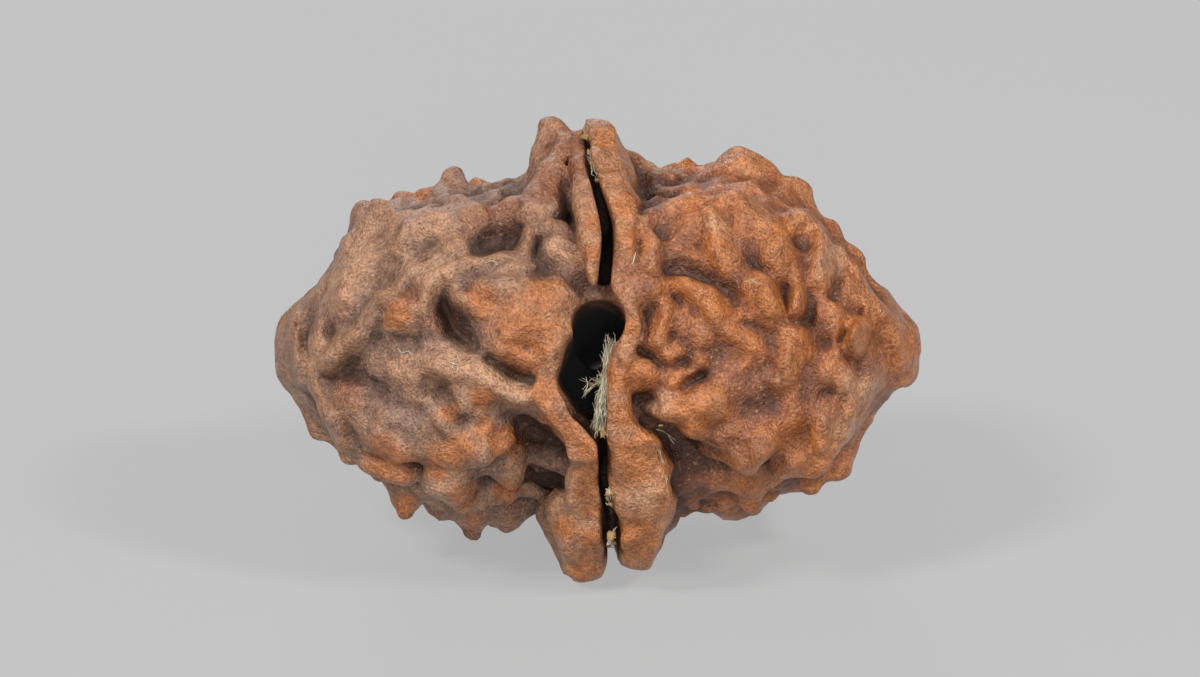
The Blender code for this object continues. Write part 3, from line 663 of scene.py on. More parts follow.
def front_point(u, v, lift=0.0):
    """The point of the plain body's front that is seen at (u, v), moved out by lift."""
    near_u = np.clip(u, -HALF_WIDTH, HALF_WIDTH)
    most = FRONT_LIMIT * half_height(near_u)
    rise = np.clip(v - middle(near_u), -most, most)
    bulge = (1 - (FRONT_LIMIT * np.abs(rise) / most) ** SECTION_POWER) ** (1 / SECTION_POWER)
    w = -half_depth(near_u) * bulge
    normal = outwards(np.array([near_u, middle(near_u) + rise, w]))
    return np.array([u, v, w]) + lift * normal


def seen_at(u, v, lift):
    """The point that the viewer sees at (u, v), lift above the plain body."""
    shift = front_point(u, v, lift) - front_point(u, v)
    return front_point(u - shift[0], v - shift[1], lift)


def rooted(u, v, height):
    """The point of the plain body under a crest that the viewer sees at (u, v)."""
    shift = front_point(u, v, height) - front_point(u, v)
    return front_point(u - shift[0], v - shift[1])


def smooth_min(a, b, k):
    h = np.maximum(k - np.abs(a - b), 0) / k
    return np.minimum(a, b) - h * h * h * (k / 6)


def smooth_max(a, b, k):
    return -smooth_min(-a, -b, k)


class Clay:
    """A block of signed distances, less than 0 inside the seed, that shapes are added to and cut from."""

    def __init__(self, step):
        self.step = step
        self.low = -np.array(BLOCK_HIGH)
        self.count = np.ceil(2 * np.array(BLOCK_HIGH) / step).astype(int) + 1
        rows = [low + step * np.arange(count) for low, count in zip(self.low, self.count)]
        self.axes = [row.astype(np.float32) for row in rows]
        self.plain = np.meshgrid(*self.axes, indexing="ij")
        self.place = self.shifted(self.plain, WANDER)
        self.field = self.lobes()
        feet, _ = feet_of(*self.place, self.place[0])
        self.foot = self.shifted(feet, [FRAY])
        self.relief = FILL + self.noise(*RELIEF_NOISE)

    def shifted(self, places, noises):
        """The places, each moved a little along every axis, so that nothing runs quite straight."""
        return [
            place + sum(self.noise(cell, seed + axis, size) for cell, seed, size in noises)
            for axis, place in enumerate(places)
        ]

    def noise(self, cell, seed, size):
        """Smooth random values, in bumps about as wide as the cell."""
        weights = []
        for axis in self.axes:
            at = (axis - axis[0]) / cell
            base = np.floor(at).astype(int)
            t = at - base
            bumps = [(1 - t) ** 3, 3 * t**3 - 6 * t**2 + 4, -3 * t**3 + 3 * t**2 + 3 * t + 1, t**3]
            matrix = np.zeros((len(axis), base.max() + 4), np.float32)
            for k in range(4):
                matrix[np.arange(len(axis)), base + k] = bumps[k] / 6
            weights.append(matrix)
        chance = np.random.default_rng(seed)
        out = chance.standard_normal([m.shape[1] for m in weights]).astype(np.float32)
        for sums, matrix in zip(("ia,abc->ibc", "jb,ibc->ijc", "kc,ijc->ijk"), weights):
            out = np.einsum(sums, matrix, out)
        return NOISE_GAIN * size * out

    def lobes(self):
        """Distance to the plain body."""
        u, v, w = self.place
        measure = np.maximum(lobe_measure(u, v, w), LEAST_MEASURE)
        radius = np.hypot(v - middle(u), w)
        surface = radius / measure
        slope = surface * np.gradient(measure, self.step, axis=0) / measure
        body = (radius - surface) / np.sqrt(1 + np.clip(slope, -STEEPEST_TAPER, STEEPEST_TAPER) ** 2)
        return smooth_max(body, np.abs(u) - HALF_WIDTH + FILL, TIP_JOIN).astype(np.float32)

    def box(self, points, reach):
        """The block's cells within reach of the points."""
        points = np.asarray(points, float)
        first = np.floor((points.min(axis=0) - reach - self.low) / self.step).astype(int)
        last = np.ceil((points.max(axis=0) + reach - self.low) / self.step).astype(int) + 1
        ends = [np.clip(end, 0, self.count) for end in (first, last)]
        return tuple(slice(a, b) for a, b in zip(*ends))

    def rope(self, coordinates, box, points, radii):
        """Distance to a round rope through the points, with its own radius at each."""
        here = [axis[box] for axis in coordinates]
        found = None
        for a, b, radius_a, radius_b in zip(points, points[1:], radii, radii[1:]):
            along = b - a
            t = sum((h - c) * d for h, c, d in zip(here, a, along)) / (along @ along)
            t = np.clip(t, 0, 1)
            gap = np.sqrt(sum((h - (c + t * d)) ** 2 for h, c, d in zip(here, a, along)))
            gap -= radius_a + t * (radius_b - radius_a)
            found = gap if found is None else np.minimum(found, gap)
        return found

    def near(self, points, width):
        """The cells around a route on the body, and each one's share of the way out to the width."""
        box = self.box(points, width + FRAY_REACH)
        return box, self.rope(self.foot, box, points, [0.0] * len(points)) / width

    def swell(self, points, width, height):
        """Raises the surface along a route. Where two swells meet, a crease stays between them."""
        box, share = self.near(points, SWELL_SPREAD * width)
        blunt = math.hypot(1, SWELL_BLUNTNESS)
        slope = (blunt - np.hypot(share, SWELL_BLUNTNESS)) / (blunt - SWELL_BLUNTNESS)
        self.relief[box] = smooth_max(self.relief[box], height * np.clip(slope, 0, 1), SOFT_JOIN)

    def sink(self, points, width, depth, power):
        """Lowers the surface along a route: with a sharp bottom for power 1, a soft one for 2."""
        box, share = self.near(points, width)
        self.relief[box] -= depth * np.clip(1 - share**power, 0, 1) ** SINK_POWER

    def dimples(self, cell, seed, front_depth, back_depth):
        """Shallow bowls side by side all over the body, with sharp ridges and peaks where they meet."""
        chance = np.random.default_rng(seed)
        count = np.ceil((np.array(BLOCK_HIGH) - self.low) / cell).astype(int)
        corners = np.stack(np.meshgrid(*[np.arange(n) for n in count], indexing="ij"), axis=-1)
        spots = self.low + cell * (corners.reshape(-1, 3) + chance.uniform(0, 1, (count.prod(), 3)))
        u, v, w = spots.T
        feet, measure = feet_of(u, v, w, np.clip(u, -HALF_WIDTH, HALF_WIDTH))
        radius = np.hypot(v - middle(u), w)
        close = (np.abs(radius - radius / measure) < cell / 2) & (np.abs(u) < HALF_WIDTH)
        reach = DIMPLE_REACH * cell
        bowls = np.full(self.field.shape, reach**2, np.float32)
        for spot in np.stack(feet, axis=1)[close]:
            box = self.box([spot], reach + FRAY_REACH)
            gap = sum((axis[box] - place) ** 2 for axis, place in zip(self.foot, spot))
            bowls[box] = np.minimum(bowls[box], gap)
        bowls = np.minimum(bowls / (DIMPLE_RADIUS * cell) ** 2, DIMPLE_RIM)
        profile = (1 + DIMPLE_BEND) * bowls / (1 + DIMPLE_BEND * bowls) - DIMPLE_LEVEL
        behind = np.clip((self.place[2] - BACK_START) / BACK_REACH, 0, 1)
        depth = front_depth + (back_depth - front_depth) * behind
        depth *= np.clip((TIP_START - np.abs(self.place[0])) / TIP_CALMING, TIP_LEAST, 1)
        self.relief += depth * profile

    def add(self, points, radii, join):
        """Adds a rope that melts into the body."""
        points = [np.asarray(point, float) for point in points]
        box = self.box(points, max(radii) + join + ROPE_MARGIN)
        rope = self.rope(self.place, box, points, radii)
        self.field[box] = smooth_min(self.field[box], rope, join)

    def cut(self, shape, join):
        """Takes a shape away, given by its distances."""
        self.field = smooth_max(self.field, -shape, join)


def strip(clay, stations, widen=0.0):
    """Distance, in the picture's plane, to a wall that follows the stations."""
    heights, middles, halves = np.array(sorted(stations)).T
    u, v, _ = clay.place
    centre = np.interp(v, heights, middles).astype(np.float32)
    half = np.interp(v, heights, halves).astype(np.float32)
    return np.abs(u - centre) - half - widen


def beyond(v, low, high):
    return np.maximum(low - v, v - high)


def add_lips(clay):
    _, v, w = clay.place
    worn_rim = sum(clay.noise(cell, seed, height) for cell, seed, height, _ in LIP_BUMPS)
    worn_side = sum(clay.noise(cell, seed + 10, side) for cell, seed, _, side in LIP_BUMPS)
    for stations, low, high, nearest, rim_height, rim_depth, widening in WALLS:
        rim = (np.sqrt((v / rim_height) ** 2 + (w / rim_depth) ** 2) - 1) * rim_depth
        wall = strip(clay, stations, widening * np.clip(-rim, 0, WIDENING_DEPTH)) + worn_side
        wall = smooth_max(wall, rim + np.abs(worn_rim), LIP_EDGE)
        wall = smooth_max(wall, np.maximum(beyond(v, low, high), nearest - w), LIP_EDGE)
        clay.field = smooth_min(clay.field, wall, LIP_JOIN)


def carve_gap(clay):
    """The dark gap between the lips, all the way round, down to the body's inner part."""
    u, v, w = clay.place
    gap = np.maximum(strip(clay, GAP), np.minimum(-beyond(v, *GAP_PAUSE), -w))
    core = (GAP_FLOOR - lobe_measure(np.clip(u, -GAP_REACH, GAP_REACH), v, w)) * CORE_RADIUS
    clay.cut(np.maximum(gap, np.maximum(core, GAP_WEB - np.abs(w))), GAP_JOIN)


def carve_opening(clay):
    """The dark opening below the string hole, as a pit seen straight on."""
    w = clay.place[2]
    *spots, radii = np.array(OPENING).T
    pit = clay.rope(clay.place[:2], slice(None), np.stack(spots, axis=1), radii)
    pit += OPENING_TAPER * np.clip(w + RIM_DEPTH, 0, TAPER_DEPTH)
    clay.cut(smooth_max(pit, w + OPENING_DEPTH, OPENING_EDGE), OPENING_JOIN)


def carve_hole(clay):
    """The string hole, which drifts on its way through, as a drill does in a seed."""
    u, v, w = clay.plain
    along = (w + HOLE_LENGTH / 2) / HOLE_LENGTH
    sideways = u - HOLE_START[0] - HOLE_DRIFT[0] * along
    upwards = v - HOLE_START[1] - HOLE_DRIFT[1] * along
    clay.cut(np.hypot(sideways, upwards) - HOLE_RADIUS, HOLE_JOIN)


def hidden_spots():
    """Even spots over the sides that the picture doesn't show, in the order of a golden spiral."""
    chance = np.random.default_rng(HIDDEN_SEED)
    turn = math.pi * (3 - math.sqrt(5))
    for i in range(HIDDEN_COUNT):
        u = HALF_WIDTH * (2 * (i + 0.5) / HIDDEN_COUNT - 1) * HIDDEN_REACH
        spot = spot_round(u, i * turn + chance.uniform(-HIDDEN_STRAY, HIDDEN_STRAY))
        twist = chance.uniform(0, math.pi)
        length, width, height = (chance.uniform(*ends) for ends in HIDDEN_SIZES)
        behind = np.clip(spot[2] / HIDDEN_FULL, 0, 1)
        height *= (HIDDEN_LEAST + (1 - HIDDEN_LEAST) * behind) * half_depth(u) / half_depth(0)
        if spot[2] > 0 and abs(u) > HIDDEN_CLEAR:
            yield spot, twist, length, width, height


def add_hidden_relief(clay):
    for spot, twist, length, width, height in hidden_spots():
        normal = outwards(spot)
        side = np.cross(normal, (1.0, 0.0, 0.0))
        side /= np.linalg.norm(side)
        along = math.cos(twist) * side + math.sin(twist) * np.cross(normal, side)
        clay.swell([spot - length / 2 * along, spot + length / 2 * along], width, height)


def add_hidden_horns(clay):
    for u, angle, length, radius in BACK_HORNS:
        spot = spot_round(u, math.radians(angle))
        normal = outwards(spot)
        ends = [spot - BACK_HORN_ROOT * normal, spot + (length - radius) * normal]
        clay.add(ends, [radius + BACK_HORN_SPREAD, radius], HORN_JOIN)


def sculpt(step):
    clay = Clay(step)
    add_hidden_relief(clay)
    for route, width, height in LEFT_SWELLS + RIGHT_SWELLS:
        clay.swell([rooted(u, v, height) for u, v in route], width, SWELL_RISE * height)
    for route, width, depth in HOLLOWS:
        clay.sink([front_point(u, v) for u, v in route], width, depth, 2)
    for route, width, depth in CREASES:
        clay.sink([rooted(u, v, CREASE_LIFT) for u, v in route], width, depth, 1)
    for layer in DIMPLES:
        clay.dimples(*layer)
    clay.field -= clay.relief
    add_lips(clay)
    for root, tip, root_radius, tip_radius in HORNS:
        clay.add([root, tip], [root_radius, tip_radius], HORN_JOIN)
    for root, tip, root_radius, tip_radius in TEETH:
        clay.add([seen_at(*root), seen_at(*tip)], [root_radius, tip_radius], TOOTH_JOIN)
    add_hidden_horns(clay)
    for cell, seed, size in ROUGHNESS:
        clay.field += np.abs(clay.noise(cell, seed, size)) - ROUGHNESS_LEVEL * size
    carve_gap(clay)
    carve_opening(clay)
    carve_hole(clay)
    _, v, w = clay.plain
    height = v * math.cos(REST_TILT) - w * math.sin(REST_TILT) + REST_HEIGHT
    clay.field = np.maximum(clay.field, -height)
    return clay


# Mesh of the block

CORNERS = [(i, j, k) for i in (0, 1) for j in (0, 1) for k in (0, 1)]
EDGES = [(a, b) for a in range(8) for b in range(8) if a < b and bin(a ^ b).count("1") == 1]
SQUARE = ((0, 0), (1, 0), (1, 1), (0, 1))


def skin_of(clay):
    """Points and four-sided faces of the surface where the block's distance is 0."""
    field = clay.field
    size = np.array(field.shape) - 1
    corner = [field[i : i + size[0], j : j + size[1], k : k + size[2]] for i, j, k in CORNERS]
    inside = sum((c < 0).astype(np.int8) for c in corner)
    cells = np.argwhere((inside > 0) & (inside < 8))
    number = np.full(size, -1, np.int32)
    number[tuple(cells.T)] = np.arange(len(cells))
    values = np.stack([c[tuple(cells.T)] for c in corner], axis=1)
    total = np.zeros((len(cells), 3))
    count = np.zeros(len(cells))
    for a, b in EDGES:
        crossed = (values[:, a] < 0) != (values[:, b] < 0)
        t = values[crossed, a] / (values[crossed, a] - values[crossed, b])
        start, end = np.array(CORNERS[a]), np.array(CORNERS[b])
        total[crossed] += start + t[:, None] * (end - start)
        count[crossed] += 1
    points = clay.low + clay.step * (cells + total / count[:, None])
    faces = []
    for axis in range(3):
        first = [slice(1, -1)] * 3
        first[axis] = slice(0, -1)
        second = list(first)
        second[axis] = slice(1, None)
        here, there = field[tuple(first)] < 0, field[tuple(second)] < 0
        one, two = [other for other in range(3) if other != axis]
        for leaving in (True, False):
            found = np.argwhere(here & ~there if leaving else there & ~here)
            found += [int(other != axis) for other in range(3)]
            ring = []
            for shift in SQUARE:
                cell = found.copy()
                cell[:, [one, two]] -= shift
                ring.append(number[tuple(cell.T)])
            quads = np.stack(ring, axis=1)
            faces.append(quads if leaving == (axis != 1) else quads[:, ::-1])
    return points, np.concatenate(faces)


def largest_body(points, faces):
    """Leaves out any crumb that isn't joined to the seed along an edge of its own."""
    ends = np.stack([faces, np.roll(faces, -1, axis=1)], axis=2).reshape(-1, 2)
    names = ends.min(axis=1) * len(points) + ends.max(axis=1)
    order = np.argsort(names, kind="stable")
    owners = np.repeat(np.arange(len(faces)), 4)[order]
    _, first, counts = np.unique(names[order], return_index=True, return_counts=True)
    first = first[counts == 2]
    pairs = np.stack([owners[first], owners[first + 1]], axis=1)
    label = np.arange(len(faces))
    while True:
        least = label[pairs].min(axis=1)
        lower = label.copy()
        for side in range(2):
            np.minimum.at(lower, pairs[:, side], least)
        lower = lower[lower]
        if (lower == label).all():
            break
        label = lower
    bodies, counts = np.unique(label, return_counts=True)
    kept = faces[label == bodies[counts.argmax()]]
    used, renumbered = np.unique(kept, return_inverse=True)
    return points[used], renumbered.reshape(-1, 4)


def sample(clay, grid, points):
    """Values of the grid at the points, by trilinear interpolation."""
    at = (points - clay.low) / clay.step
    base = np.clip(np.floor(at).astype(int), 0, np.array(grid.shape) - 2)
    t = np.clip(at - base, 0, 1)
    total = 0
    for corner in CORNERS:
        share = np.where(corner, t, 1 - t).prod(axis=1)
        total = total + share * grid[tuple((base + corner).T)]
    return total


def blurred(grid, cells):
    """The grid after three passes of a running mean, which together make a soft blur."""
    for axis in 3 * (0, 1, 2):
        moved = np.moveaxis(grid, axis, 0)
        padded = np.concatenate([moved[:1].repeat(cells + 1, 0), moved, moved[-1:].repeat(cells, 0)])
        running = np.cumsum(padded, axis=0, dtype=np.float64)
        mean = (running[2 * cells + 1 :] - running[: -2 * cells - 1]) / (2 * cells + 1)
        grid = np.moveaxis(mean.astype(np.float32), 0, axis)
    return grid


def to_world(points):
    """From the seed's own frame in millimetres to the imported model's frame in metres."""
    u, v, w = points.T
    c, s = math.cos(REST_TILT), math.sin(REST_TILT)
    return 0.001 * np.stack([u, w * c + v * s, v * c - w * s + REST_HEIGHT], axis=1)


def to_seed(points):
    """The way back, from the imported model's frame to the seed's own."""
    x, y, z = 1000 * points.T
    c, s = math.cos(REST_TILT), math.sin(REST_TILT)
    z = z - REST_HEIGHT
    return np.stack([x, z * c + y * s, y * c - z * s], axis=1)


def placed(name, data):
    """A new object in the scene that shows this data."""
    made = bpy.data.objects.new(name, data)
    bpy.context.scene.collection.objects.link(made)
    return made


def mesh_object(name, points, faces):
    mesh = bpy.data.meshes.new(name)
    mesh.from_pydata(points.tolist(), [], faces)
    mesh.validate()
    mesh.shade_smooth()
    return placed(name, mesh)


def thinned(piece, most):
    """The piece with at most this many triangles, its detail kept where the surface bends."""
    triangles = 2 * len(piece.data.polygons)
    if triangles > most:
        thin = piece.modifiers.new("thin", "DECIMATE")
        thin.ratio = most / triangles
        graph = bpy.context.evaluated_depsgraph_get()
        mesh = bpy.data.meshes.new_from_object(piece.evaluated_get(graph))
        piece.modifiers.clear()
        piece.data = mesh
    piece.data.shade_smooth()
    return piece


def points_of(mesh):
    flat = np.empty(3 * len(mesh.vertices), np.float32)
    mesh.vertices.foreach_get("co", flat)
    return flat.reshape(-1, 3).astype(float)


def mark(mesh, name, values):
    layer = mesh.attributes.new(name, "FLOAT", "POINT")
    layer.data.foreach_set("value", np.clip(values, 0, 1).astype(np.float32))


def front_share(spots, marks):
    """How near each point of the front is to the marks that the viewer sees."""
    u, v, w = spots.T
    share = np.zeros(len(u))
    for mark_u, mark_v, radius in marks:
        away = np.hypot(u - mark_u, v - mark_v) / radius
        share = np.maximum(share, np.clip(MARK_SPREAD - away, 0, 1))
    return share * np.clip(MARK_BACK - w, 0, 1)


def hidden_share(spots, kind):
    """The same for the hidden sides, around every few of the hidden swells."""
    u, v, w = spots.T
    feet, _ = feet_of(u, v, w, np.clip(u, -HALF_WIDTH, HALF_WIDTH))
    feet = np.stack(feet, axis=1)
    share = np.zeros(len(spots))
    for number, (spot, _, _, width, _) in enumerate(hidden_spots()):
        if HIDDEN_MARKS[number % len(HIDDEN_MARKS)] == kind:
            away = np.sqrt(((feet - spot) ** 2).sum(axis=1)) / (HIDDEN_MARK_WIDTH * width)
            share = np.maximum(share, np.clip(MARK_SPREAD - away, 0, 1))
    return share


def make_seed(clay):
    """The seed's mesh, with what its material needs to know of each place."""
    points, faces = largest_body(*skin_of(clay))
    seed = thinned(mesh_object("seed", to_world(points), faces.tolist()), MOST_TRIANGLES)
    spots = to_seed(points_of(seed.data))
    solid = np.clip(0.5 - clay.field / clay.step, 0, 1).astype(np.float32)
    for name, reach in HOLLOW_REACHES:
        cells = max(1, round(reach / clay.step))
        mark(seed.data, name, sample(clay, blurred(solid, cells), spots))
    for name, marks in (("orange", ORANGE_SPOTS), ("plum", PLUM_SPOTS), ("pale", PALE_SPOTS)):
        mark(seed.data, name, np.maximum(front_share(spots, marks), hidden_share(spots, name)))
    u, v, w = spots.T
    mark(seed.data, "side", 0.5 + u / SIDE_BLEND)
    # where the material paints near-black shade inside the seed
    inner = INSIDE_START - lobe_measure(np.clip(u, -INSIDE_REACH, INSIDE_REACH), v, w)
    mark(seed.data, "inside", INSIDE_SHARPNESS * inner * (np.abs(u) < INSIDE_REACH))
    return seed


# Fibres and crumbs


def surface_at(clay, u, v):
    """How far along w the seed's surface is, for a viewer who looks at (u, v)."""
    row, column = [round((value - low) / clay.step) for value, low in zip((u, v), clay.low)]
    inside = np.nonzero(clay.field[row, column] < 0)[0]
    return float(clay.axes[2][inside[0]]) if len(inside) else 0.0


def under_rim(v, below):
    """How far along w a place between the lips is, this far below their rim."""
    *_, rim_height, rim_depth, _ = WALLS[0 if v > 0 else 2]
    return below - rim_depth * math.sqrt(1 - (v / rim_height) ** 2)


def smooth_route(route, count):
    """So many points along a curve through the route's points."""
    route = np.array(route, float)
    away = np.concatenate([[0], np.cumsum(np.linalg.norm(np.diff(route, axis=0), axis=1))])
    at = np.linspace(0, away[-1], 4 * count)
    line = np.stack([np.interp(at, away, axis) for axis in route.T], axis=1)
    for _ in range(count):
        line[1:-1] = (line[:-2] + line[1:-1] + line[2:]) / 3
    return line[np.linspace(0, len(line) - 1, count).round().astype(int)]


def tube(line, radius):
    """Points and faces of a thin tube with closed ends, a little thinner towards them."""
    along = np.gradient(line, axis=0)
    side = np.cross(along, FIBRE_ASIDE)
    side /= np.linalg.norm(side, axis=1)[:, None]
    up = np.cross(along, side)
    up /= np.linalg.norm(up, axis=1)[:, None]
    turn = np.arange(FIBRE_SIDES) * math.tau / FIBRE_SIDES
    size = radius * (1 - FIBRE_THINNING * np.abs(np.linspace(-1, 1, len(line))) ** 3)
    ring = side[:, None] * np.cos(turn)[None, :, None] + up[:, None] * np.sin(turn)[None, :, None]
    points = (line[:, None] + size[:, None, None] * ring).reshape(-1, 3)
    rings = np.arange(len(points)).reshape(-1, FIBRE_SIDES)
    faces = []
    for here, there in zip(rings, rings[1:]):
        for k in range(FIBRE_SIDES):
            after = (k + 1) % FIBRE_SIDES
            faces.append((here[k], there[k], there[after], here[after]))
    return points, faces + [tuple(rings[0]), tuple(rings[-1][::-1])]


def joined(name, shapes):
    """One object of many small shapes, each with its points in the seed's frame and its faces."""
    points, faces, first = [], [], 0
    for own_points, own_faces in shapes:
        points.append(own_points)
        faces += [[int(first + corner) for corner in face] for face in own_faces]
        first += len(own_points)
    return mesh_object(name, to_world(np.concatenate(points)), faces)


def make_fibres(clay):
    chance = np.random.default_rng(FIBRE_SEED)
    shapes = []
    for route, count, stray, radius in FIBRES:
        guide = smooth_route([(u, v, under_rim(v, below)) for u, v, below in route], GUIDE_POINTS)
        for _ in range(count):
            centre = chance.uniform(*FIBRE_CENTRES)
            reach = chance.uniform(*FIBRE_REACHES)
            at = np.clip(np.linspace(centre - reach, centre + reach, FIBRE_POINTS), 0, 1)
            line = guide[(at * (GUIDE_POINTS - 1)).round().astype(int)]
            line = line + FIBRE_KINKS * chance.standard_normal((FIBRE_POINTS, 3))
            bend = np.linspace(-1, 1, FIBRE_POINTS)[:, None]
            line += stray * (chance.uniform(-1, 1, 3) + bend * chance.uniform(-1, 1, 3))
            line += stray * (bend**2 - 0.5) * chance.uniform(-1, 1, 3)
            shapes.append(tube(smooth_route(line, FIBRE_POINTS), radius * chance.uniform(*FIBRE_SIZES)))
    for route in LOOSE_FIBRES:
        line = [(u, v, surface_at(clay, u, v) - LOOSE_LIFT) for u, v in route]
        shapes.append(tube(smooth_route(line, 2 * FIBRE_POINTS), LOOSE_RADIUS))
    return joined("fibres", shapes)


def make_crumbs(clay):
    chance = np.random.default_rng(CRUMB_SEED)
    lump = bmesh.new()
    bmesh.ops.create_icosphere(lump, subdivisions=2, radius=1.0)
    ball = np.array([vert.co[:] for vert in lump.verts])
    faces = [tuple(vert.index for vert in face.verts) for face in lump.faces]
    lump.free()
    shapes = []
    for u, v, below, radius in CRUMBS:
        points = ball * (1 + CRUMB_LUMPS * chance.standard_normal((len(ball), 1)))
        points *= radius * chance.uniform(*CRUMB_SIZES, 3)
        depth = surface_at(clay, u, v) - CRUMB_SUNK * radius if below is None else under_rim(v, below)
        shapes.append((points + (u, v, depth), faces))
    return joined("crumbs", shapes)


# Materials. Colours are as seen on a screen, 0 to 255, each at its place on a scale of 0 to 1

WHITE = (255, 255, 255)
# the two lobes, from their dusty hollows to their worn crests
RIGHT_SHELL = [(0.0, (102, 59, 37)), (0.35, (146, 85, 49)), (0.7, (174, 103, 58)), (1.0, (190, 121, 72))]
LEFT_SHELL = [(0.0, (94, 68, 56)), (0.35, (126, 95, 79)), (0.7, (152, 115, 93)), (1.0, (172, 126, 94))]
# what each painted place is called, how strongly it shows, and its colour in hollows and on crests
PAINTED = [
    ("pale", 0.6, (160, 124, 98), (204, 156, 122)),
    ("plum", 0.7, (106, 62, 42), (142, 84, 54)),
    ("orange", 0.8, (142, 79, 40), (192, 115, 58)),
]
MOTTLE_SHADE = [(0.3, (186, 178, 172)), (0.62, WHITE)]
GRAIN_SHADE = [(0.3, (200, 194, 188)), (0.6, WHITE)]
# painted shade: the colour is multiplied darker where the surface lies in a hollow
HOLLOW_PAINTED_SHADE = [(0.5, WHITE), (0.74, (186, 168, 156))]
BLOOM = (146, 120, 112)
DUST = (204, 164, 122)
# painted shade at the bottom of the creases
CREASE_SHADE = (72, 46, 32)
# near-black painted shade deep inside the gap and the opening
INSIDE_PAINTED_SHADE = (9, 7, 6)
FLOOR_SHADES = [(0.0, (80, 81, 82)), (1.0, (84, 85, 86))]
FLOOR_GLOW = (196, 196, 196)
FLOOR_GLOW_STRENGTH = 0.71
# noises: width of the bumps in millimetres, detail, roughness, shift
BROAD = (3.4, 3.0, 0.6, 3)
PATCHY = (1.3, 4.0, 0.62, 11)
MOTTLE = (0.5, 5.0, 0.72, 5)
WRINKLE = (0.24, 3.0, 0.6, 9)
GRAIN = (0.1, 1.0, 0.5, 7)
DRY_MOTTLE = (0.4,)
DRY_GRAIN = (0.05, 1.0)
FLOOR_MOTTLE = (40.0,)
# how far apart the grains of dust are, in millimetres, and how high the bumps are, in metres
DUST_GRAINS = 0.17
SHELL_BUMP = 0.0002
DRY_BUMP = 0.00002
# from which value to which a quality grows from none to full
WORN = (0.62, 0.36)
BLOOMING = (0.70, 0.92)
PAINTING = (0.15, 0.95)
DUSTY = (0.42, 0.2)
DUST_PATCHES = (0.42, 0.6)
# painted shade at the bottom of the creases grows over this span of the crevice mark
CREASE_SHADING = (0.62, 0.8)
# the same with the least and the most that they give
BLOOM_BY_SIDE = (1.0, 0.0, 0.1, 0.6)
DUST_BY_WEAR = (0.9, 0.1, 0.3, 0.45)
ROUGH_BY_WEAR = (0.0, 1.0, 0.46, 0.2)
ROUGH_BY_SIDE = (0.2, 0.7, 0.12, 0.0)
# the most that the painted shade of the creases darkens
CREASE_SHADE_MOST = 0.62
# how much the patchy and the broad noise swing the wear, the lobes' tone and the edges of painted places
WEAR_SWING = 1.3
TONE_SWING = 0.8
EDGE_SWING = 1.6


def paint(red, green, blue):
    """A colour as seen on a screen, in the linear form that shaders take."""
    values = [c / 255 for c in (red, green, blue)]
    return [c / 12.92 if c < 0.04045 else ((c + 0.055) / 1.055) ** 2.4 for c in values] + [1.0]


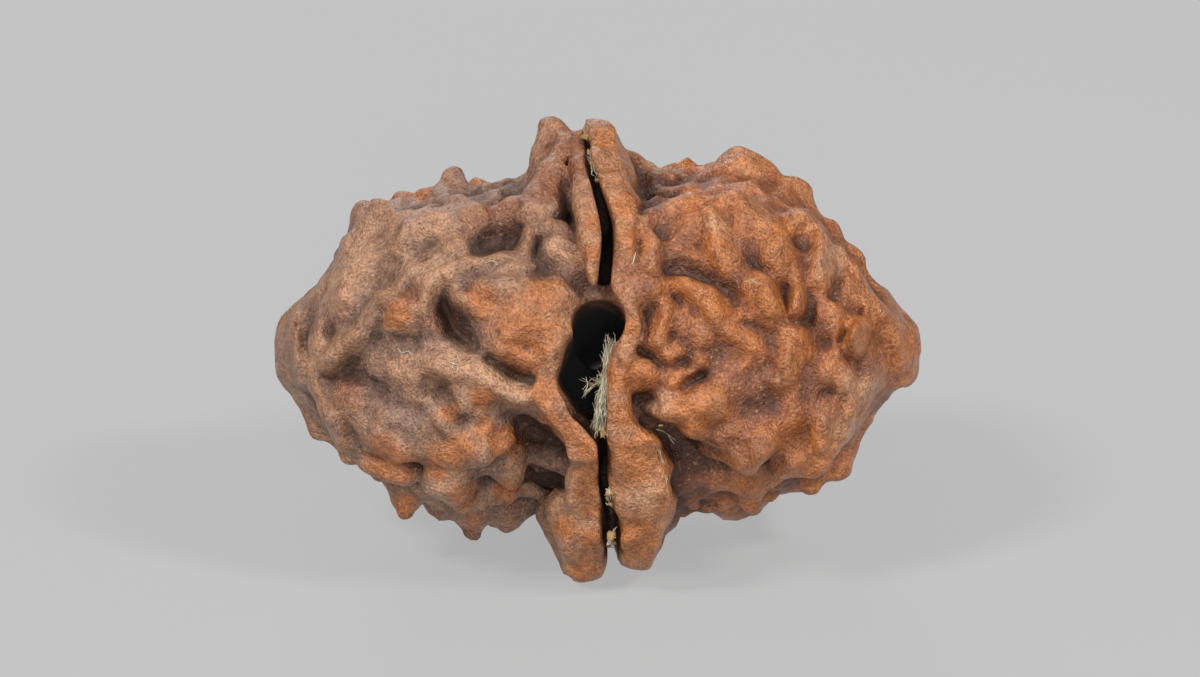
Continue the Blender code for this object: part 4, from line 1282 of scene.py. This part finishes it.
class Paint:
    """Short calls for building one material's nodes."""

    def __init__(self, name):
        self.material = bpy.data.materials.new(name)
        self.material.use_nodes = True
        self.tree = self.material.node_tree
        self.shader = self.tree.nodes["Principled BSDF"]

    def node(self, kind, **settings):
        made = self.tree.nodes.new(kind)
        for name, value in settings.items():
            setattr(made, name, value)
        return made

    def feed(self, socket, value):
        if isinstance(value, bpy.types.NodeSocket):
            self.tree.links.new(value, socket)
        else:
            socket.default_value = value

    def math(self, operation, a, b, clamp=False):
        made = self.node("ShaderNodeMath", operation=operation, use_clamp=clamp)
        self.feed(made.inputs[0], a)
        self.feed(made.inputs[1], b)
        return made.outputs[0]

    def add(self, a, b, clamp=False):
        return self.math("ADD", a, b, clamp)

    def times(self, a, b):
        return self.math("MULTIPLY", a, b)

    def swing(self, value, size):
        """A value of 0 to 1 as a swing of this size to both sides of 0."""
        return self.times(self.math("SUBTRACT", value, 0.5), size)

    def spread(self, value, low, high, to_low=0.0, to_high=1.0):
        """The value from low to high becomes to_low to to_high, and stays there beyond."""
        made = self.node("ShaderNodeMapRange", interpolation_type="SMOOTHSTEP")
        for socket, number in zip(made.inputs, (value, low, high, to_low, to_high)):
            self.feed(socket, number)
        return made.outputs[0]

    def mix(self, share, a, b, blend="MIX"):
        made = self.node("ShaderNodeMix", data_type="RGBA", blend_type=blend)
        self.feed(made.inputs[0], share)
        self.feed(made.inputs[6], a)
        self.feed(made.inputs[7], b)
        return made.outputs[2]

    def place(self):
        return self.node("ShaderNodeTexCoord").outputs["Object"]

    def noise(self, millimetres, detail=2.0, roughness=0.5, shift=0.0):
        """Noise from 0 to 1 with bumps about this wide."""
        moved = self.node("ShaderNodeMapping")
        self.feed(moved.inputs["Vector"], self.place())
        moved.inputs["Location"].default_value = (shift, 0.7 * shift, -0.4 * shift)
        made = self.node("ShaderNodeTexNoise")
        self.feed(made.inputs["Vector"], moved.outputs[0])
        for name, value in (("Scale", 1000 / millimetres), ("Detail", detail), ("Roughness", roughness)):
            made.inputs[name].default_value = value
        return made.outputs["Fac"]

    def dots(self, millimetres):
        """Distance to the nearest of many scattered dots about this far apart: 0 at a dot."""
        made = self.node("ShaderNodeTexVoronoi")
        self.feed(made.inputs["Vector"], self.place())
        made.inputs["Scale"].default_value = 1000 / millimetres
        return made.outputs["Distance"]

    def attribute(self, name):
        return self.node("ShaderNodeAttribute", attribute_name=name).outputs["Fac"]

    def ramp(self, value, stops):
        """A colour that runs from stop to stop as the value goes from 0 to 1."""
        made = self.node("ShaderNodeValToRGB")
        self.feed(made.inputs[0], value)
        while len(made.color_ramp.elements) < len(stops):
            made.color_ramp.elements.new(0.5)
        for element, (place, colour) in zip(made.color_ramp.elements, stops):
            element.position = place
            element.color = paint(*colour)
        return made.outputs[0]

    def bump(self, height, distance):
        made = self.node("ShaderNodeBump")
        made.inputs["Distance"].default_value = distance
        self.feed(made.inputs["Height"], height)
        self.set(Normal=made.outputs[0])

    def set(self, **values):
        for name, value in values.items():
            self.feed(self.shader.inputs[name.replace("_", " ")], value)


def seed_material():
    """Dried fruit stone: waxy orange-brown on the crests, dusty and darker in the hollows, partly from
    painted shade there and in the creases, and near-black painted shade deep inside.
    """
    p = Paint("seed_shell")
    names = ("crevice", "hollow", "depth", "side", "inside")
    crevice, hollow, depth, side, inside = (p.attribute(name) for name in names)
    noises = (BROAD, PATCHY, MOTTLE, WRINKLE, GRAIN)
    broad, patchy, mottle, wrinkle, grain = (p.noise(*noise) for noise in noises)

    # how worn and polished a place is: 0 in the hollows, 1 on the crests
    worn = p.spread(p.add(p.times(hollow, 0.6), p.times(depth, 0.4)), *WORN)
    worn = p.add(worn, p.swing(patchy, WEAR_SWING), clamp=True)
    tone = p.add(side, p.swing(broad, TONE_SWING), clamp=True)
    colour = p.mix(tone, p.ramp(worn, LEFT_SHELL), p.ramp(worn, RIGHT_SHELL))

    # lavender-grey bloom in patches, mostly on the left lobe
    bloom = p.spread(p.add(patchy, p.times(broad, 0.5)), *BLOOMING)
    bloom = p.times(bloom, p.spread(side, *BLOOM_BY_SIDE))
    colour = p.mix(bloom, colour, paint(*BLOOM))

    # the listed places, with ragged edges
    ragged = p.swing(patchy, EDGE_SWING)
    for name, strength, low, high in PAINTED:
        share = p.spread(p.add(p.attribute(name), ragged), *PAINTING, 0.0, strength)
        colour = p.mix(share, colour, p.ramp(worn, [(0.1, low), (0.8, high)]))

    # ochre dust that gathers in the hollows as fine grains, then painted shade at the bottom of the creases
    speck = p.times(p.spread(p.dots(DUST_GRAINS), *DUSTY), p.spread(mottle, *DUST_PATCHES))
    speck = p.times(speck, p.spread(worn, *DUST_BY_WEAR))
    colour = p.mix(speck, colour, paint(*DUST))
    # random mottle and grain vary the colour, and painted shade darkens the hollows
    for value, shade in ((mottle, MOTTLE_SHADE), (grain, GRAIN_SHADE), (hollow, HOLLOW_PAINTED_SHADE)):
        colour = p.mix(1.0, colour, p.ramp(value, shade), "MULTIPLY")
    colour = p.mix(p.spread(crevice, *CREASE_SHADING, 0.0, CREASE_SHADE_MOST), colour, paint(*CREASE_SHADE))
    # near-black painted shade deep inside the gap and the opening
    colour = p.mix(inside, colour, paint(*INSIDE_PAINTED_SHADE))

    # glossy where worn, duller where dusty and on the left lobe, dull inside
    rough = p.add(p.spread(worn, *ROUGH_BY_WEAR), p.times(mottle, 0.16))
    rough = p.add(rough, p.spread(side, *ROUGH_BY_SIDE))
    rough = p.add(rough, p.times(inside, 0.5), clamp=True)
    height = p.add(p.times(mottle, 0.7), p.times(wrinkle, 0.6))
    p.bump(p.add(height, p.times(grain, 0.3)), SHELL_BUMP)
    p.set(Base_Color=colour, Roughness=rough)
    return p.material


def dry_material(name, low, high, roughness):
    """Fibre or husk: a plain dry surface that varies a little from place to place."""
    p = Paint(name)
    p.set(Base_Color=p.ramp(p.noise(*DRY_MOTTLE), [(0.3, low), (0.7, high)]), Roughness=roughness)
    p.bump(p.noise(*DRY_GRAIN), DRY_BUMP)
    return p.material


def floor_material():
    p = Paint("pale_floor")
    p.set(Base_Color=p.ramp(p.noise(*FLOOR_MOTTLE), FLOOR_SHADES), Roughness=0.9)
    p.set(Emission_Color=paint(*FLOOR_GLOW), Emission_Strength=FLOOR_GLOW_STRENGTH)
    return p.material


# Floor, lights and camera


def make_floor():
    corners = [(-1, -1, 0), (1, -1, 0), (1, 1, 0), (-1, 1, 0)]
    floor = mesh_object("floor", FLOOR_REACH * np.array(corners), [(0, 1, 2, 3)])
    floor.data.materials.append(floor_material())
    floor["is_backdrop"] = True


def turned_to(direction):
    """The turn that points a light or a camera this way, with its top up."""
    return direction.to_track_quat("-Z", "Y").to_euler()


def make_light(name, place, size, power, tint):
    light = bpy.data.lights.new(name, "AREA")
    light.shape = "DISK"
    light.size = size
    light.energy = power
    light.color = tint
    lamp = placed(name, light)
    lamp.location = place
    lamp.rotation_euler = turned_to(LIGHT_TARGET - Vector(place))


def make_world():
    world = bpy.data.worlds.new("studio")
    world.use_nodes = True
    sky = world.node_tree.nodes["Background"]
    sky.inputs["Color"].default_value = (1.0, 1.0, 1.0, 1.0)
    sky.inputs["Strength"].default_value = WORLD_STRENGTH
    bpy.context.scene.world = world


def make_camera():
    """Looks along the seed's w axis, so the picture's frame is the seed's own u and v."""
    camera = bpy.data.cameras.new("camera")
    camera.lens = LENS
    camera.clip_start = CLIP_START
    holder = placed("camera", camera)
    distance = FRAME_WIDTH * LENS / camera.sensor_width
    target = Vector(to_world(np.array([[0.0, FRAME_CENTRE, 0.0]]))[0])
    towards = Vector((0.0, -math.cos(REST_TILT), math.sin(REST_TILT)))
    holder.location = target + distance * towards
    holder.rotation_euler = turned_to(-towards)
    bpy.context.scene.camera = holder


# Building the scene

clay = sculpt(VOXEL)
seed = make_seed(clay)
finishes = [
    (seed, seed_material()),
    (make_fibres(clay), dry_material("dry_fibre", (120, 112, 88), (206, 198, 172), 0.6)),
    (make_crumbs(clay), dry_material("husk_crumb", (112, 84, 50), (176, 142, 94), 0.8)),
]
for piece, material in finishes:
    piece.data.materials.append(material)
    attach(piece, "root")
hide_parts("rudraksha_seed")
make_floor()
make_world()
for light in LIGHTS:
    make_light(*light)
make_camera()
bpy.context.scene.view_settings.view_transform = "Standard"

boxes = {"packed": packed_box, "seen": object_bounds()}
{name: [list(corner) for corner in box] for name, box in boxes.items()}
